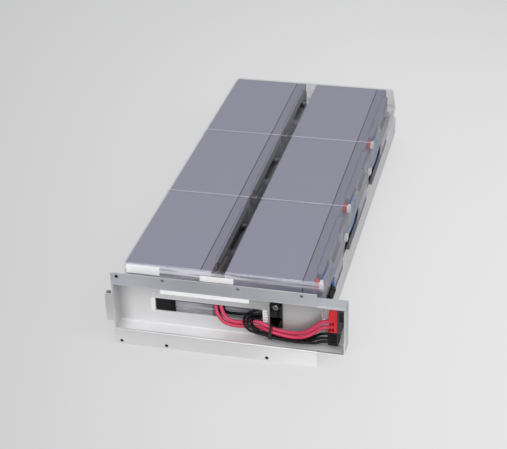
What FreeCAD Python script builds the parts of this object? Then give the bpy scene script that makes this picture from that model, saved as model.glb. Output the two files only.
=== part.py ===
"""Replaceable battery cartridge of a rack UPS: six sealed lead-acid blocks in a clear clamshell,
with a folded steel front bracket that carries the output harness.

Millimetres, +Z up. The sizes are worked out from the front left lower corner of the blocks: X runs along
the bracket, Y from the bracket to the far end. The finished part has its origin at the bottom centre of
its box, so every solid is moved there when it is written.
"""
import FreeCAD, Part
import math
import os

V = FreeCAD.Vector

# Battery blocks, each lying on its broad side with its lid towards +X
CASE_LENGTH = 151.0
CASE_THICKNESS = 65.0
CASE_HEIGHT = 92.5
JAR_HEIGHT = 76.4
CASE_EDGE_RADIUS = 1.6
LID_SEAM = 0.9
LID_LEDGE_DROP = 4.5
LID_LEDGE_LENGTH = 19.0
LID_STEP_DEPTH = 2.0
LID_STEP_INSET = 1.3
ROWS = 3
COLUMNS = 2
ROW_GAP = 1.0
COLUMN_GAP = 8.9

# Terminals and the push-on connectors
TERMINAL_BASE_RISE = 3.7
TERMINAL_BASE_LENGTH = 7.0
TERMINAL_BASE_WIDTH = 9.0
TERMINAL_END_DISTANCE = 3.0
POSITIVE_TOP_DISTANCE = 0.8
NEGATIVE_DROP = 27.2
SLEEVE_THICKNESS = 3.6
SLEEVE_WIDTH = 6.4
SLEEVE_LENGTH = 7.5

# Clamshell of thermoformed clear sheet
SHELL_WALL = 1.0
SHELL_CLEARANCE = 0.6
SHELL_TOP_CLEARANCE = 0.3
SHELL_CORNER_RADIUS = 4.2
SHELL_TOP_RADIUS = 2.0
TERMINAL_SPACE = 3.3
FOOT_HEIGHT = 4.0
FOOT_WIDTH = 16.0
FEET_PER_ROW = 2
SKIRT_DEPTH = 26.3
SKIRT_FLARE = 2.0
SKIRT_FLARE_TERMINAL_SIDE = 3.8
SHOULDER_HEIGHT = 34.0
NECK_HEIGHT = 50.0
NECK_CLEARANCE = 0.3
BOTTOM_CHAMFER = 7.0
POCKET_DEPTH = 8.0
POCKET_START = 43.5
POCKET_END = 92.0
POCKET_DRAFT = 1.4
POCKET_RIM = 0.6
TROUGH_CLEARANCE = 0.3
BUTTON_RADIUS = 2.9
SIDE_BUTTON_RADIUS = 1.5
BUTTON_DEPTH = 2.6
BUTTON_POSITION = 97.0
SLOT_LOW = 35.0
SLOT_HIGH = 53.0
SLOT_START = 95.0
SLOT_END = 39.0
FRONT_SLOT_END = 48.0
SEAM_GROOVE = 0.5
NOTCH_LOW = 25.0
NOTCH_HIGH = 56.5

# Folded steel front bracket
SHEET = 1.2
BRACKET_RISE = 10.0
SPACER_THICKNESS = 16.5
RECESS_DEPTH = 16.5
UPPER_FLANGE_HEIGHT = 13.1
LOWER_SHELF = 17.4
FLANGE_LEFT = -1.9
FLANGE_OVERHANG = 5.7
PLUG_BAY_WIDTH = 26.9
BEND_RADIUS = 1.0
FLANGE_HOLE_RADIUS = 1.8
FLANGE_HOLE_X = (4.2, 50.0)
UPPER_MIDDLE_HOLE_X = 124.0
UPPER_END_HOLE_DISTANCE = 14.5
LOWER_END_HOLE_X = 150.5
UPPER_HOLE_EDGE = 3.6
LOWER_HOLE_EDGE = 3.2
EAR_REACH = 7.5
EAR_LOW = 26.2
EAR_HIGH = 56.5
EAR_DEPTH = 7.0
EAR_RETURN = 4.2
CUTOUT_LEFT = 35.1
CUTOUT_RIGHT = 144.6
CUTOUT_LOW = 33.0
CUTOUT_HIGH = 47.7
HEM_HEIGHT = 4.9

# Leads
RED_RADIUS = 1.9
BLACK_RADIUS = 1.45
JUMPER_RADIUS = 1.4

# Small pieces of the harness
FUSE_RADIUS = 3.3
FUSE_LENGTH = 20.0
FUSE_START = 10.0
FUSE_CLEARANCE = 5.4
FUSE_RISE = 10.0
CLAMP_LEFT = 150.8
CLAMP_WIDTH = 12.4
CLAMP_LOW = 29.5
CLAMP_HIGH = 58.2
CLAMP_THICKNESS = 2.0
CLAMP_RIB = 1.6
TIE_WIDTH = 2.8
TIE_THICKNESS = 1.1
HOUSING_WIDTH = 8.7
HOLDER_WIDTH = 7.1
RED_HOUSING_LOW = 37.5
RED_HOUSING_HIGH = 64.5
BLACK_HOUSING_LOW = 23.0
BLACK_HOUSING_HIGH = 37.2
HOUSING_FRONT = -32.6
HOUSING_DEPTH = 9.6
CAVITY_DEPTH = 3.0
CAVITY_HALF = 2.2
BLACK_STEP = 0.8
CLIP_WIDTH = 8.0
CLIP_LOW = 42.4
CLIP_HIGH = 58.7
CLIP_THICKNESS = 1.5
RIVET_RADIUS = 1.6
RIVET_RISE = 2.0
SPACER_LOW = 8.0
SPACER_RELIEF = 0.3
LEFT_SPACER_LEFT = 4.0
LEFT_SPACER_RIGHT = 51.0
LEFT_SPACER_HIGH = 60.0
RIGHT_SPACER_LEFT = 163.0
RIGHT_SPACER_RIGHT = 193.0
RIGHT_SPACER_HIGH = 30.0
LABEL_THICKNESS = 0.25
CLAMP_SCREW_RADIUS = 1.6
EDGE_STRIP_WALL = 0.9
EDGE_STRIP_COVER = 3.8
EDGE_STRIP_GAP = 1.1
EDGE_STRIP_PITCH = 2.8
TIE_OUTLINE = ((-36.8, 24.4), (-36.8, 28.2), (-29.5, 34.6), (-23.4, 34.6), (-23.4, 26.0), (-26.6, 22.2),
               (-33.2, 22.2))

# Bare labels: left and right edge, lower and upper edge
LEFT_LABEL = (1.7, 35.5, 60.6)
MIDDLE_LABEL = (76.6, 110.2, 59.6, 65.4)
STRIP_LABEL = (41.6, 130.4, 4.6)


# Places worked out from the sizes above
ROW_PITCH = CASE_LENGTH + ROW_GAP
COLUMN_PITCH = CASE_HEIGHT + COLUMN_GAP
PACK_LENGTH = ROWS * ROW_PITCH - ROW_GAP
PACK_WIDTH = COLUMNS * COLUMN_PITCH - COLUMN_GAP
CASE_BOTTOM = FOOT_HEIGHT + SHELL_WALL
CASE_TOP = CASE_BOTTOM + CASE_THICKNESS
SHELL_TOP = CASE_TOP + SHELL_TOP_CLEARANCE + SHELL_WALL
SKIRT_BOTTOM = SHELL_TOP - SKIRT_DEPTH
SHELL_LEFT = -SHELL_CLEARANCE - SHELL_WALL
SHELL_RIGHT = PACK_WIDTH + TERMINAL_SPACE + SHELL_WALL
SHELL_FRONT = -SHELL_CLEARANCE - SHELL_WALL
SHELL_BACK = PACK_LENGTH + SHELL_CLEARANCE + SHELL_WALL
PANEL_BACK = SHELL_FRONT - SKIRT_FLARE - SPACER_THICKNESS
PANEL_FRONT = PANEL_BACK - SHEET
BRACKET_FRONT = PANEL_FRONT - RECESS_DEPTH
BRACKET_HEIGHT = SHELL_TOP + BRACKET_RISE
UPPER_SHELF = BRACKET_HEIGHT - UPPER_FLANGE_HEIGHT
FLANGE_RIGHT = PACK_WIDTH + FLANGE_OVERHANG
BRACKET_RIGHT = FLANGE_RIGHT + PLUG_BAY_WIDTH
UPPER_HOLE_X = FLANGE_HOLE_X + (UPPER_MIDDLE_HOLE_X, FLANGE_RIGHT - UPPER_END_HOLE_DISTANCE)
LOWER_HOLE_X = FLANGE_HOLE_X + (LOWER_END_HOLE_X,)
LEDGE_LEVEL = CASE_HEIGHT - LID_LEDGE_DROP
TROUGH_LEFT = CASE_HEIGHT
TROUGH_RIGHT = COLUMN_PITCH
POSITIVE_Z = CASE_TOP - POSITIVE_TOP_DISTANCE - TERMINAL_BASE_WIDTH / 2
NEGATIVE_Z = POSITIVE_Z - NEGATIVE_DROP
FUSE_X = PACK_WIDTH + FUSE_RADIUS + FUSE_CLEARANCE
FUSE_Z = NEGATIVE_Z + FUSE_RISE
SLEEVE_X = LEDGE_LEVEL + TERMINAL_BASE_RISE + SLEEVE_THICKNESS / 2
HOUSING_RIGHT = BRACKET_RIGHT - SHEET - HOLDER_WIDTH
HOUSING_LEFT = HOUSING_RIGHT - HOUSING_WIDTH
CLIP_LEFT = HOUSING_LEFT - CLIP_WIDTH
WINDOW_LEFT = HOUSING_RIGHT + 0.8
WINDOW_RIGHT = BRACKET_RIGHT - SHEET - 2.5
WINDOW_LOW = RED_HOUSING_HIGH - 13.5
WINDOW_HIGH = RED_HOUSING_HIGH - 3.0

BOX_LEFT = FLANGE_LEFT - EAR_REACH
BOX_FRONT = BRACKET_FRONT
BOX_BACK = SHELL_BACK + SKIRT_FLARE
ORIGIN = V((BOX_LEFT + BRACKET_RIGHT) / 2, (BOX_FRONT + BOX_BACK) / 2, 0)


def box(x0, x1, y0, y1, z0, z1):
    return Part.makeBox(x1 - x0, y1 - y0, z1 - z0, V(x0, y0, z0))


def rounded_rectangle(x0, x1, y0, y1, z, radius):
    """Closed wire of a rectangle at height z with four round corners."""
    edges = []
    corners = ((x1, y0, -90), (x1, y1, 0), (x0, y1, 90), (x0, y0, 180))
    centres = []
    for x, y, start in corners:
        centre_x = x - radius if x == x1 else x + radius
        centre_y = y - radius if y == y1 else y + radius
        centres.append((centre_x, centre_y, start))
    previous_end = None
    first_start = None
    for centre_x, centre_y, start in centres:
        points = []
        for angle in (start, start + 45, start + 90):
            turn = math.radians(angle)
            points.append(V(centre_x + radius * math.cos(turn), centre_y + radius * math.sin(turn), z))
        if previous_end is not None:
            edges.append(Part.LineSegment(previous_end, points[0]).toShape())
        else:
            first_start = points[0]
        edges.append(Part.Arc(*points).toShape())
        previous_end = points[2]
    edges.append(Part.LineSegment(previous_end, first_start).toShape())
    return Part.Wire(edges)


def fuse_all(shapes):
    result = shapes[0]
    for shape in shapes[1:]:
        result = result.fuse(shape)
    return result.removeSplitter()


def edges_along(shape, axis, test):
    """Straight edges of a solid that run along one axis and whose middle passes the test."""
    found = []
    for edge in shape.Edges:
        if len(edge.Vertexes) != 2:
            continue
        run = edge.Vertexes[1].Point - edge.Vertexes[0].Point
        if run.Length < 1e-6 or abs(abs(run[axis]) - run.Length) > 1e-6:
            continue
        if test((edge.Vertexes[1].Point + edge.Vertexes[0].Point) * 0.5):
            found.append(edge)
    return found


def tube(name, points, radius):
    """Round lead along straight runs joined by tangent arcs, each as large as its runs allow."""
    points = [V(*point) for point in points]
    edges = []
    radii = []
    start = points[0]
    for index in range(1, len(points) - 1):
        corner = points[index]
        before = points[index - 1] - corner
        after = points[index + 1] - corner
        turn = math.pi - before.getAngle(after)
        if turn < 0.01:
            continue
        cut = 0.45 * min(before.Length, after.Length)
        bend = cut / math.tan(turn / 2)
        radii.append(bend)
        into = V(before).normalize()
        out = V(after).normalize()
        first = corner + into * cut
        last = corner + out * cut
        bisector = (into + out).normalize()
        middle = corner + bisector * (math.hypot(cut, bend) - bend)
        edges.append(Part.LineSegment(start, first).toShape())
        edges.append(Part.Arc(first, middle, last).toShape())
        start = last
    edges.append(Part.LineSegment(start, points[-1]).toShape())
    path = Part.Wire(edges)
    direction = points[1] - points[0]
    circle = Part.Wire(Part.makeCircle(radius, points[0], direction))
    lead = path.makePipeShell([circle], True, False)
    expected = math.pi * radius ** 2 * path.Length
    print("%s: length %.0f mm, smallest bend radius %.1f mm (%.1f diameters), volume ratio %.4f" % (
        name, path.Length, min(radii), min(radii) / (2 * radius), lead.Volume / expected))
    return lead


def column_x(column):
    return column * COLUMN_PITCH


def row_y(row):
    return row * ROW_PITCH


# Battery blocks

def battery_jar(column, row):
    x, y = column_x(column), row_y(row)
    jar = box(x, x + JAR_HEIGHT, y, y + CASE_LENGTH, CASE_BOTTOM, CASE_TOP)
    sides = edges_along(jar, 0, lambda middle: True)
    jar = jar.makeFillet(CASE_EDGE_RADIUS, sides)
    bottom = [edge for edge in jar.Edges if abs(edge.BoundBox.XMax - x) < 1e-6]
    return jar.makeChamfer(0.8, bottom)


def battery_lid(column, row):
    """Lid with a low ledge at each end for the terminals, a raised middle with the vent cover, and a seam."""
    x, y = column_x(column), row_y(row)
    end = y + CASE_LENGTH
    seam_end = x + JAR_HEIGHT + LID_SEAM
    ledge = x + LEDGE_LEVEL
    face = x + CASE_HEIGHT
    lid = box(x + JAR_HEIGHT, ledge, y, end, CASE_BOTTOM, CASE_TOP)
    lid = lid.makeFillet(CASE_EDGE_RADIUS, edges_along(lid, 0, lambda middle: True))
    rim = [edge for edge in lid.Edges if abs(edge.BoundBox.XMin - ledge) < 1e-6]
    lid = lid.makeFillet(1.0, rim)
    raised_start = y + LID_LEDGE_LENGTH
    raised_end = end - LID_LEDGE_LENGTH
    step = ledge - LID_STEP_DEPTH
    low = CASE_BOTTOM + LID_STEP_INSET
    high = CASE_TOP - LID_STEP_INSET
    cutters = [box(step, ledge + 1, raised_start, raised_end, CASE_BOTTOM - 1, low),
               box(step, ledge + 1, raised_start, raised_end, high, CASE_TOP + 1)]
    seam_outside = box(x + JAR_HEIGHT, seam_end, y - 1, end + 1, CASE_BOTTOM - 1, CASE_TOP + 1)
    seam_inside = box(x + JAR_HEIGHT, seam_end, y + LID_SEAM, end - LID_SEAM,
                      CASE_BOTTOM + LID_SEAM, CASE_TOP - LID_SEAM)
    cutters.append(seam_outside.cut(seam_inside))
    raised = box(step, face, raised_start, raised_end, low, high)
    raised_rim = [edge for edge in raised.Edges if abs(edge.BoundBox.XMin - face) < 1e-6]
    raised = raised.makeFillet(0.8, raised_rim)
    vent_inset = 0.6
    vent_gap = 0.5
    middle_z = (CASE_BOTTOM + CASE_TOP) / 2
    vent_half = 8.0
    vent_start = y + 28.0
    vent_end = end - 28.0
    groove = box(face - vent_inset, face + 1, vent_start, vent_end, middle_z - vent_half, middle_z + vent_half)
    cover = box(face - vent_inset, face, vent_start + vent_gap, vent_end - vent_gap,
                middle_z - vent_half + vent_gap, middle_z + vent_half - vent_gap)
    return lid.cut(Part.makeCompound(cutters)).fuse(raised.cut(groove).fuse(cover)).removeSplitter()


def terminal(column, row, positive):
    """Coloured terminal base on a ledge of the lid."""
    x = column_x(column) + LEDGE_LEVEL
    y = row_y(row)
    z = POSITIVE_Z if positive else NEGATIVE_Z
    if positive:
        base_start = y + TERMINAL_END_DISTANCE
    else:
        base_start = y + CASE_LENGTH - TERMINAL_END_DISTANCE - TERMINAL_BASE_LENGTH
    base = box(x, x + TERMINAL_BASE_RISE, base_start, base_start + TERMINAL_BASE_LENGTH,
               z - TERMINAL_BASE_WIDTH / 2, z + TERMINAL_BASE_WIDTH / 2)
    corners = edges_along(base, 0, lambda middle: True)
    return base.makeFillet(1.2, corners)


def sleeve_range(row, positive):
    """Start and end along Y of the insulated connector on a terminal."""
    middle = row_y(row) + TERMINAL_END_DISTANCE + TERMINAL_BASE_LENGTH / 2
    if not positive:
        middle = row_y(row) + CASE_LENGTH - TERMINAL_END_DISTANCE - TERMINAL_BASE_LENGTH / 2
    return middle - SLEEVE_LENGTH / 2, middle + SLEEVE_LENGTH / 2


def sleeve(column, row, positive):
    """White insulating sleeve of a push-on connector, lying along the block."""
    x = column_x(column) + LEDGE_LEVEL + TERMINAL_BASE_RISE
    z = POSITIVE_Z if positive else NEGATIVE_Z
    start, end = sleeve_range(row, positive)
    body = box(x, x + SLEEVE_THICKNESS, start, end, z - SLEEVE_WIDTH / 2, z + SLEEVE_WIDTH / 2)
    return body.makeFillet(1.0, edges_along(body, 1, lambda middle: True))


# Clamshell

def upper_wire(z, inset):
    """Outline of the upper shell at height z, moved inwards by the inset."""
    share = (SHELL_TOP - z) / SKIRT_DEPTH
    return rounded_rectangle(
        SHELL_LEFT - SKIRT_FLARE * share + inset,
        SHELL_RIGHT + SKIRT_FLARE_TERMINAL_SIDE * share - inset,
        SHELL_FRONT - SKIRT_FLARE * share + inset,
        SHELL_BACK + SKIRT_FLARE * share - inset,
        z, SHELL_CORNER_RADIUS - inset)


def upper_form(inset):
    """Solid form of the upper shell; the wall lies between two of these."""
    bottom = SKIRT_BOTTOM - (1.0 if inset > 0 else 0.0)
    form = Part.makeLoft([upper_wire(SHELL_TOP - max(inset, 0), inset), upper_wire(bottom, inset)], True, True)
    rim_z = SHELL_TOP - max(inset, 0)
    rim = [edge for edge in form.Edges if abs(edge.BoundBox.ZMin - rim_z) < 1e-5]
    return form.makeFillet(SHELL_TOP_RADIUS - inset * 0.6, rim)


def pocket(x0, x1, y0, y1, depth, inset):
    """Formed recess below the top sheet, with drafted walls and a flared rim on the outside."""
    rim = SHELL_TOP - POCKET_RIM
    top = SHELL_TOP + 1
    flare = 0 if inset else top - rim
    draft = POCKET_DRAFT
    levels = ((top, flare, flare), (rim, 0, 0), (SHELL_TOP - depth - inset, -draft / 2, -draft))
    wires = []
    for z, across, along in levels:
        corners = [V(x0 - inset - across, y0 - inset - along, z), V(x1 + inset + across, y0 - inset - along, z),
                   V(x1 + inset + across, y1 + inset + along, z), V(x0 - inset - across, y1 + inset + along, z)]
        wires.append(Part.makePolygon(corners + [corners[0]]))
    return Part.makeLoft(wires, True, True)


def pocket_columns():
    """Left and right edge of the recesses: in the trough and along the terminal side."""
    clear = TROUGH_CLEARANCE + SHELL_WALL
    side_left = PACK_WIDTH + clear - SHELL_WALL
    return ((TROUGH_LEFT + clear, TROUGH_RIGHT - clear), (side_left + SHELL_WALL, SHELL_RIGHT + 8.0))


def slot_ranges():
    """Start and end along Y of the long openings in the terminal side."""
    ranges = [(SHELL_FRONT - 6.0, FRONT_SLOT_END)]
    for row in range(ROWS - 1):
        ranges.append((row_y(row) + SLOT_START, row_y(row + 1) + SLOT_END))
    return ranges


def slot_cutter(start, end):
    """Long opening with round ends through the terminal side of both shells."""
    height = SLOT_HIGH - SLOT_LOW
    x0 = PACK_WIDTH + 0.7
    x1 = SHELL_RIGHT + 8.0
    middle_z = (SLOT_LOW + SLOT_HIGH) / 2
    pieces = [box(x0, x1, start + height / 2, end - height / 2, SLOT_LOW, SLOT_HIGH)]
    for y in (start + height / 2, end - height / 2):
        pieces.append(Part.makeCylinder(height / 2, x1 - x0, V(x0, y, middle_z), V(1, 0, 0)))
    return fuse_all(pieces)


def front_notch():
    """Way out for the leads at the front end of the trough."""
    return box(TROUGH_LEFT + TROUGH_CLEARANCE, TROUGH_RIGHT - TROUGH_CLEARANCE,
               SHELL_FRONT - 6, -0.2, NOTCH_LOW, NOTCH_HIGH)


def upper_shell():
    outside = upper_form(0)
    inside = upper_form(SHELL_WALL)
    for x0, x1 in pocket_columns():
        for row in range(ROWS):
            y0, y1 = row_y(row) + POCKET_START, row_y(row) + POCKET_END
            outside = outside.cut(pocket(x0, x1, y0, y1, POCKET_DEPTH, 0))
            inside = inside.cut(pocket(x0, x1, y0, y1, POCKET_DEPTH, SHELL_WALL))
    shell = outside.cut(inside)
    for x0, x1 in ((TROUGH_LEFT, TROUGH_RIGHT), (PACK_WIDTH, SHELL_RIGHT)):
        for row in range(ROWS):
            centre = V((x0 + x1) / 2, row_y(row) + BUTTON_POSITION, SHELL_TOP)
            if x1 == SHELL_RIGHT:
                centre.x = PACK_WIDTH + SIDE_BUTTON_RADIUS + 0.2
            ring = BUTTON_RADIUS if x1 == TROUGH_RIGHT else SIDE_BUTTON_RADIUS
            cup = Part.makeCylinder(ring, BUTTON_DEPTH, centre - V(0, 0, BUTTON_DEPTH))
            well = Part.makeCylinder(ring - 0.8, BUTTON_DEPTH, centre - V(0, 0, BUTTON_DEPTH - 0.8))
            shell = shell.fuse(cup).cut(well)
    for row in range(1, ROWS):
        y = row_y(row) - ROW_GAP / 2
        profile = Part.makePolygon([V(SHELL_LEFT - 5, y - SEAM_GROOVE, SHELL_TOP + 0.001),
                                    V(SHELL_LEFT - 5, y + SEAM_GROOVE, SHELL_TOP + 0.001),
                                    V(SHELL_LEFT - 5, y, SHELL_TOP - SEAM_GROOVE),
                                    V(SHELL_LEFT - 5, y - SEAM_GROOVE, SHELL_TOP + 0.001)])
        shell = shell.cut(Part.Face(profile).extrude(V(SHELL_RIGHT - SHELL_LEFT + 10, 0, 0)))
    for start, end in slot_ranges():
        shell = shell.cut(slot_cutter(start, end))
    return shell.cut(front_notch())


def neck_limits(inset):
    """Outline of the lower shell's neck, which stands inside the skirt of the upper shell."""
    share = (SHELL_TOP - NECK_HEIGHT) / SKIRT_DEPTH
    back = SHELL_WALL + NECK_CLEARANCE + inset
    return (SHELL_LEFT - SKIRT_FLARE * share + back,
            SHELL_RIGHT + SKIRT_FLARE_TERMINAL_SIDE * share - back,
            SHELL_FRONT - SKIRT_FLARE * share + back,
            SHELL_BACK + SKIRT_FLARE * share - back)


def body_limits(inset):
    """Outline of the lower shell below its shoulder."""
    return (SHELL_LEFT - SKIRT_FLARE + inset,
            SHELL_RIGHT + SKIRT_FLARE_TERMINAL_SIDE - inset,
            SHELL_FRONT - SKIRT_FLARE + inset,
            SHELL_BACK + SKIRT_FLARE - inset)


def lower_form(inset):
    """Solid form of the lower shell: chamfered tray, shoulder and neck."""
    floor = FOOT_HEIGHT + inset
    x0, x1, y0, y1 = body_limits(inset)
    cut = BOTTOM_CHAMFER
    radius = SHELL_CORNER_RADIUS - inset
    base = rounded_rectangle(x0 + cut * 0.35, x1 - cut * 0.35, y0 + cut * 0.3, y1 - cut * 0.3, floor, radius)
    side = rounded_rectangle(x0, x1, y0, y1, floor + cut, radius)
    shoulder = rounded_rectangle(x0, x1, y0, y1, SHOULDER_HEIGHT - inset, radius)
    neck_x0, neck_x1, neck_y0, neck_y1 = neck_limits(inset)
    neck_base = rounded_rectangle(neck_x0, neck_x1, neck_y0, neck_y1, SHOULDER_HEIGHT - inset, radius)
    neck_top = rounded_rectangle(neck_x0, neck_x1, neck_y0, neck_y1,
                                 NECK_HEIGHT + (1.0 if inset > 0 else 0.0), radius)
    tray = Part.makeLoft([base, side, shoulder], True, True)
    neck = Part.makeLoft([neck_base, neck_top], True, True)
    return tray.fuse(neck)


def foot(x, y, inset):
    """Formed foot under the floor, running across the cartridge."""
    length = CASE_HEIGHT * 0.62
    low = inset if inset > 0 else 0.0
    top = FOOT_HEIGHT + 0.5 + inset
    spread = 2.0
    half = FOOT_WIDTH / 2 - inset
    upper = [V(x - length / 2 + inset - spread, y - half - spread, top),
             V(x + length / 2 - inset + spread, y - half - spread, top),
             V(x + length / 2 - inset + spread, y + half + spread, top),
             V(x - length / 2 + inset - spread, y + half + spread, top)]
    lower = [V(x - length / 2 + inset, y - half, low), V(x + length / 2 - inset, y - half, low),
             V(x + length / 2 - inset, y + half, low), V(x - length / 2 + inset, y + half, low)]
    wires = [Part.makePolygon(corners + [corners[0]]) for corners in (upper, lower)]
    return Part.makeLoft(wires, True, True)


def lower_shell():
    outside = lower_form(0)
    inside = lower_form(SHELL_WALL)
    feet = []
    hollows = []
    for column in range(COLUMNS):
        for row in range(ROWS):
            for index in range(FEET_PER_ROW):
                x = column_x(column) + CASE_HEIGHT / 2
                y = row_y(row) + CASE_LENGTH * (index + 0.5) / FEET_PER_ROW
                feet.append(foot(x, y, 0))
                hollows.append(foot(x, y, SHELL_WALL))
    shell = outside.fuse(feet).cut(inside)
    shell = shell.cut(Part.makeCompound(hollows))
    for start, end in slot_ranges():
        shell = shell.cut(slot_cutter(start, end))
    return shell.cut(front_notch()).removeSplitter()


def front_label(x0, x1, z0, z1):
    """Bare label that follows the drafted front wall of the upper shell."""
    skin = upper_form(-LABEL_THICKNESS).cut(upper_form(0))
    return skin.common(box(x0, x1, SHELL_FRONT - 6, SHELL_FRONT + 0.3, z0, z1))


# Front bracket

def bracket_section(with_flanges):
    front, panel, thick = BRACKET_FRONT, PANEL_FRONT, SHEET
    upper, lower = UPPER_SHELF, LOWER_SHELF
    if with_flanges:
        outline = [(front, BRACKET_HEIGHT), (front, upper - thick), (panel, upper - thick), (panel, lower),
                   (front, lower), (front, 0), (front + thick, 0), (front + thick, lower - thick),
                   (panel + thick, lower - thick), (panel + thick, upper), (front + thick, upper),
                   (front + thick, BRACKET_HEIGHT)]
    else:
        outline = [(front, upper), (front, upper - thick), (panel, upper - thick), (panel, lower),
                   (front, lower), (front, lower - thick), (panel + thick, lower - thick),
                   (panel + thick, upper)]
    return outline


def folded_strip(x0, x1, with_flanges):
    """Length of the hat section with round bends."""
    outline = bracket_section(with_flanges)
    points = [V(x0, y, z) for y, z in outline]
    strip = Part.Face(Part.makePolygon(points + [points[0]])).extrude(V(x1 - x0, 0, 0))
    inner = [(PANEL_FRONT, UPPER_SHELF - SHEET), (PANEL_FRONT, LOWER_SHELF)]
    outer = [(PANEL_BACK, UPPER_SHELF), (PANEL_BACK, LOWER_SHELF - SHEET)]
    if with_flanges:
        inner += [(BRACKET_FRONT + SHEET, UPPER_SHELF), (BRACKET_FRONT + SHEET, LOWER_SHELF - SHEET)]
        outer += [(BRACKET_FRONT, UPPER_SHELF - SHEET), (BRACKET_FRONT, LOWER_SHELF)]

    def at(corners):
        return lambda middle: any(abs(middle.y - y) < 1e-4 and abs(middle.z - z) < 1e-4 for y, z in corners)

    strip = strip.makeFillet(BEND_RADIUS, edges_along(strip, 0, at(inner)))
    return strip.makeFillet(BEND_RADIUS + SHEET * 0.8, edges_along(strip, 0, at(outer)))


def front_bracket():
    pieces = [folded_strip(FLANGE_LEFT, FLANGE_RIGHT, True), folded_strip(FLANGE_RIGHT, BRACKET_RIGHT, False)]
    low, high = LOWER_SHELF - SHEET, UPPER_SHELF
    pieces.append(box(FLANGE_LEFT, FLANGE_LEFT + SHEET, BRACKET_FRONT, PANEL_BACK - 1.0, low + 0.6, high - 0.6))
    pieces.append(box(BRACKET_RIGHT - SHEET, BRACKET_RIGHT, BRACKET_FRONT, PANEL_BACK - 1.0, low, high))
    ear_left = FLANGE_LEFT - EAR_REACH
    ear = box(ear_left, FLANGE_LEFT + 0.2, BRACKET_FRONT, BRACKET_FRONT + SHEET, EAR_LOW, EAR_HIGH)
    side = box(ear_left, ear_left + SHEET, BRACKET_FRONT, BRACKET_FRONT + EAR_DEPTH, EAR_LOW, EAR_HIGH)
    hook = box(ear_left, ear_left + EAR_RETURN, BRACKET_FRONT + EAR_DEPTH - SHEET, BRACKET_FRONT + EAR_DEPTH,
               EAR_LOW, EAR_HIGH)
    pieces += [ear, side, hook]
    hem = box(CUTOUT_LEFT - 2.5, CUTOUT_RIGHT + 2.5, PANEL_FRONT - SHEET, PANEL_FRONT,
              CUTOUT_HIGH, CUTOUT_HIGH + HEM_HEIGHT)
    pieces.append(hem)
    bracket = fuse_all(pieces)
    cutters = [box(CUTOUT_LEFT, CUTOUT_RIGHT, PANEL_FRONT - 1, PANEL_BACK + 1, CUTOUT_LOW, CUTOUT_HIGH)]
    for x in UPPER_HOLE_X:
        cutters.append(Part.makeCylinder(FLANGE_HOLE_RADIUS, 4, V(x, BRACKET_FRONT - 1,
                                         BRACKET_HEIGHT - UPPER_HOLE_EDGE), V(0, 1, 0)))
    for x in LOWER_HOLE_X:
        cutters.append(Part.makeCylinder(FLANGE_HOLE_RADIUS, 4, V(x, BRACKET_FRONT - 1, LOWER_HOLE_EDGE),
                                         V(0, 1, 0)))
    cutters.append(box(WINDOW_LEFT, WINDOW_RIGHT, PANEL_FRONT - 1, PANEL_BACK + 1, WINDOW_LOW, WINDOW_HIGH))
    return bracket.cut(Part.makeCompound(cutters))


def edge_strip(x0, x1, opens_right, ribbed):
    """Nylon channel pressed over an upright edge of the bracket's cut-out."""
    wall = EDGE_STRIP_WALL
    low, high = CUTOUT_LOW + 0.3, CUTOUT_HIGH - 0.3
    strip = box(x0, x1, PANEL_FRONT - wall, PANEL_BACK + wall, low, high)
    if opens_right:
        strip = strip.cut(box(x0 + wall, x1 + 1, PANEL_FRONT, PANEL_BACK, low - 1, high + 1))
    else:
        strip = strip.cut(box(x0 - 1, x1 - wall, PANEL_FRONT, PANEL_BACK, low - 1, high + 1))
    if ribbed:
        count = round((high - low) / EDGE_STRIP_PITCH)
        for index in range(1, count):
            z = low + (high - low) * index / count
            strip = strip.cut(box(x0 + wall, x1 + 1, PANEL_FRONT - wall - 1, PANEL_FRONT,
                                  z - EDGE_STRIP_GAP / 2, z + EDGE_STRIP_GAP / 2))
    return strip


# Leads inside the clamshell

def wire_x(column):
    return column_x(column) + SLEEVE_X


def side_x(column):
    """Where a wire lies beside the raised middle of the lids."""
    return column_x(column) + CASE_HEIGHT + JUMPER_RADIUS + 0.3


def jumper(name, column, row):
    """Blue link from a negative terminal to the positive one of the next block, in a loop past its start."""
    x = wire_x(column)
    side = side_x(column)
    start = sleeve_range(row, False)[1]
    next_row = row_y(row + 1)
    end = sleeve_range(row + 1, True)[1]
    low, high = NEGATIVE_Z, POSITIVE_Z
    loop = ((12, low - 0.7), (24, low - 1.4), (36, low + 0.6), (46, low + 7.5), (46.5, low + 17),
            (39, high - 3.0), (29, high), (20.5, high - 0.1))
    points = [(x, start, low), (x, next_row + 1.5, low)]
    points += [(side, next_row + y, z) for y, z in loop]
    points += [(x, next_row + 15.2, high), (x, end, high)]
    return tube(name, points, JUMPER_RADIUS)


FRONT_LINK = (
    (195.6, 20.5, 64.7), (195.7, 29.0, 63.5), (195.9, 38.0, 61.2), (196.1, 46.5, 60.2), (196.3, 52.9, 59.9),
    (196.5, 57.4, 55.9), (196.7, 57.4, 49.5), (197.0, 52.6, 45.0), (197.2, 46.4, 45.2), (200.2, 40.6, 46.3))


def front_jumper():
    """Blue link from the first right-hand positive terminal back and down to the fuse holder."""
    x = wire_x(1)
    start = sleeve_range(0, True)[1]
    fuse_end = FUSE_START + FUSE_LENGTH
    points = [(x, start, POSITIVE_Z), (x, start + 5, POSITIVE_Z)]
    points += list(FRONT_LINK)
    points += [(FUSE_X, fuse_end + 5, FUSE_Z), (FUSE_X, fuse_end, FUSE_Z)]
    return tube("jumper_right_front", points, JUMPER_RADIUS)


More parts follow.
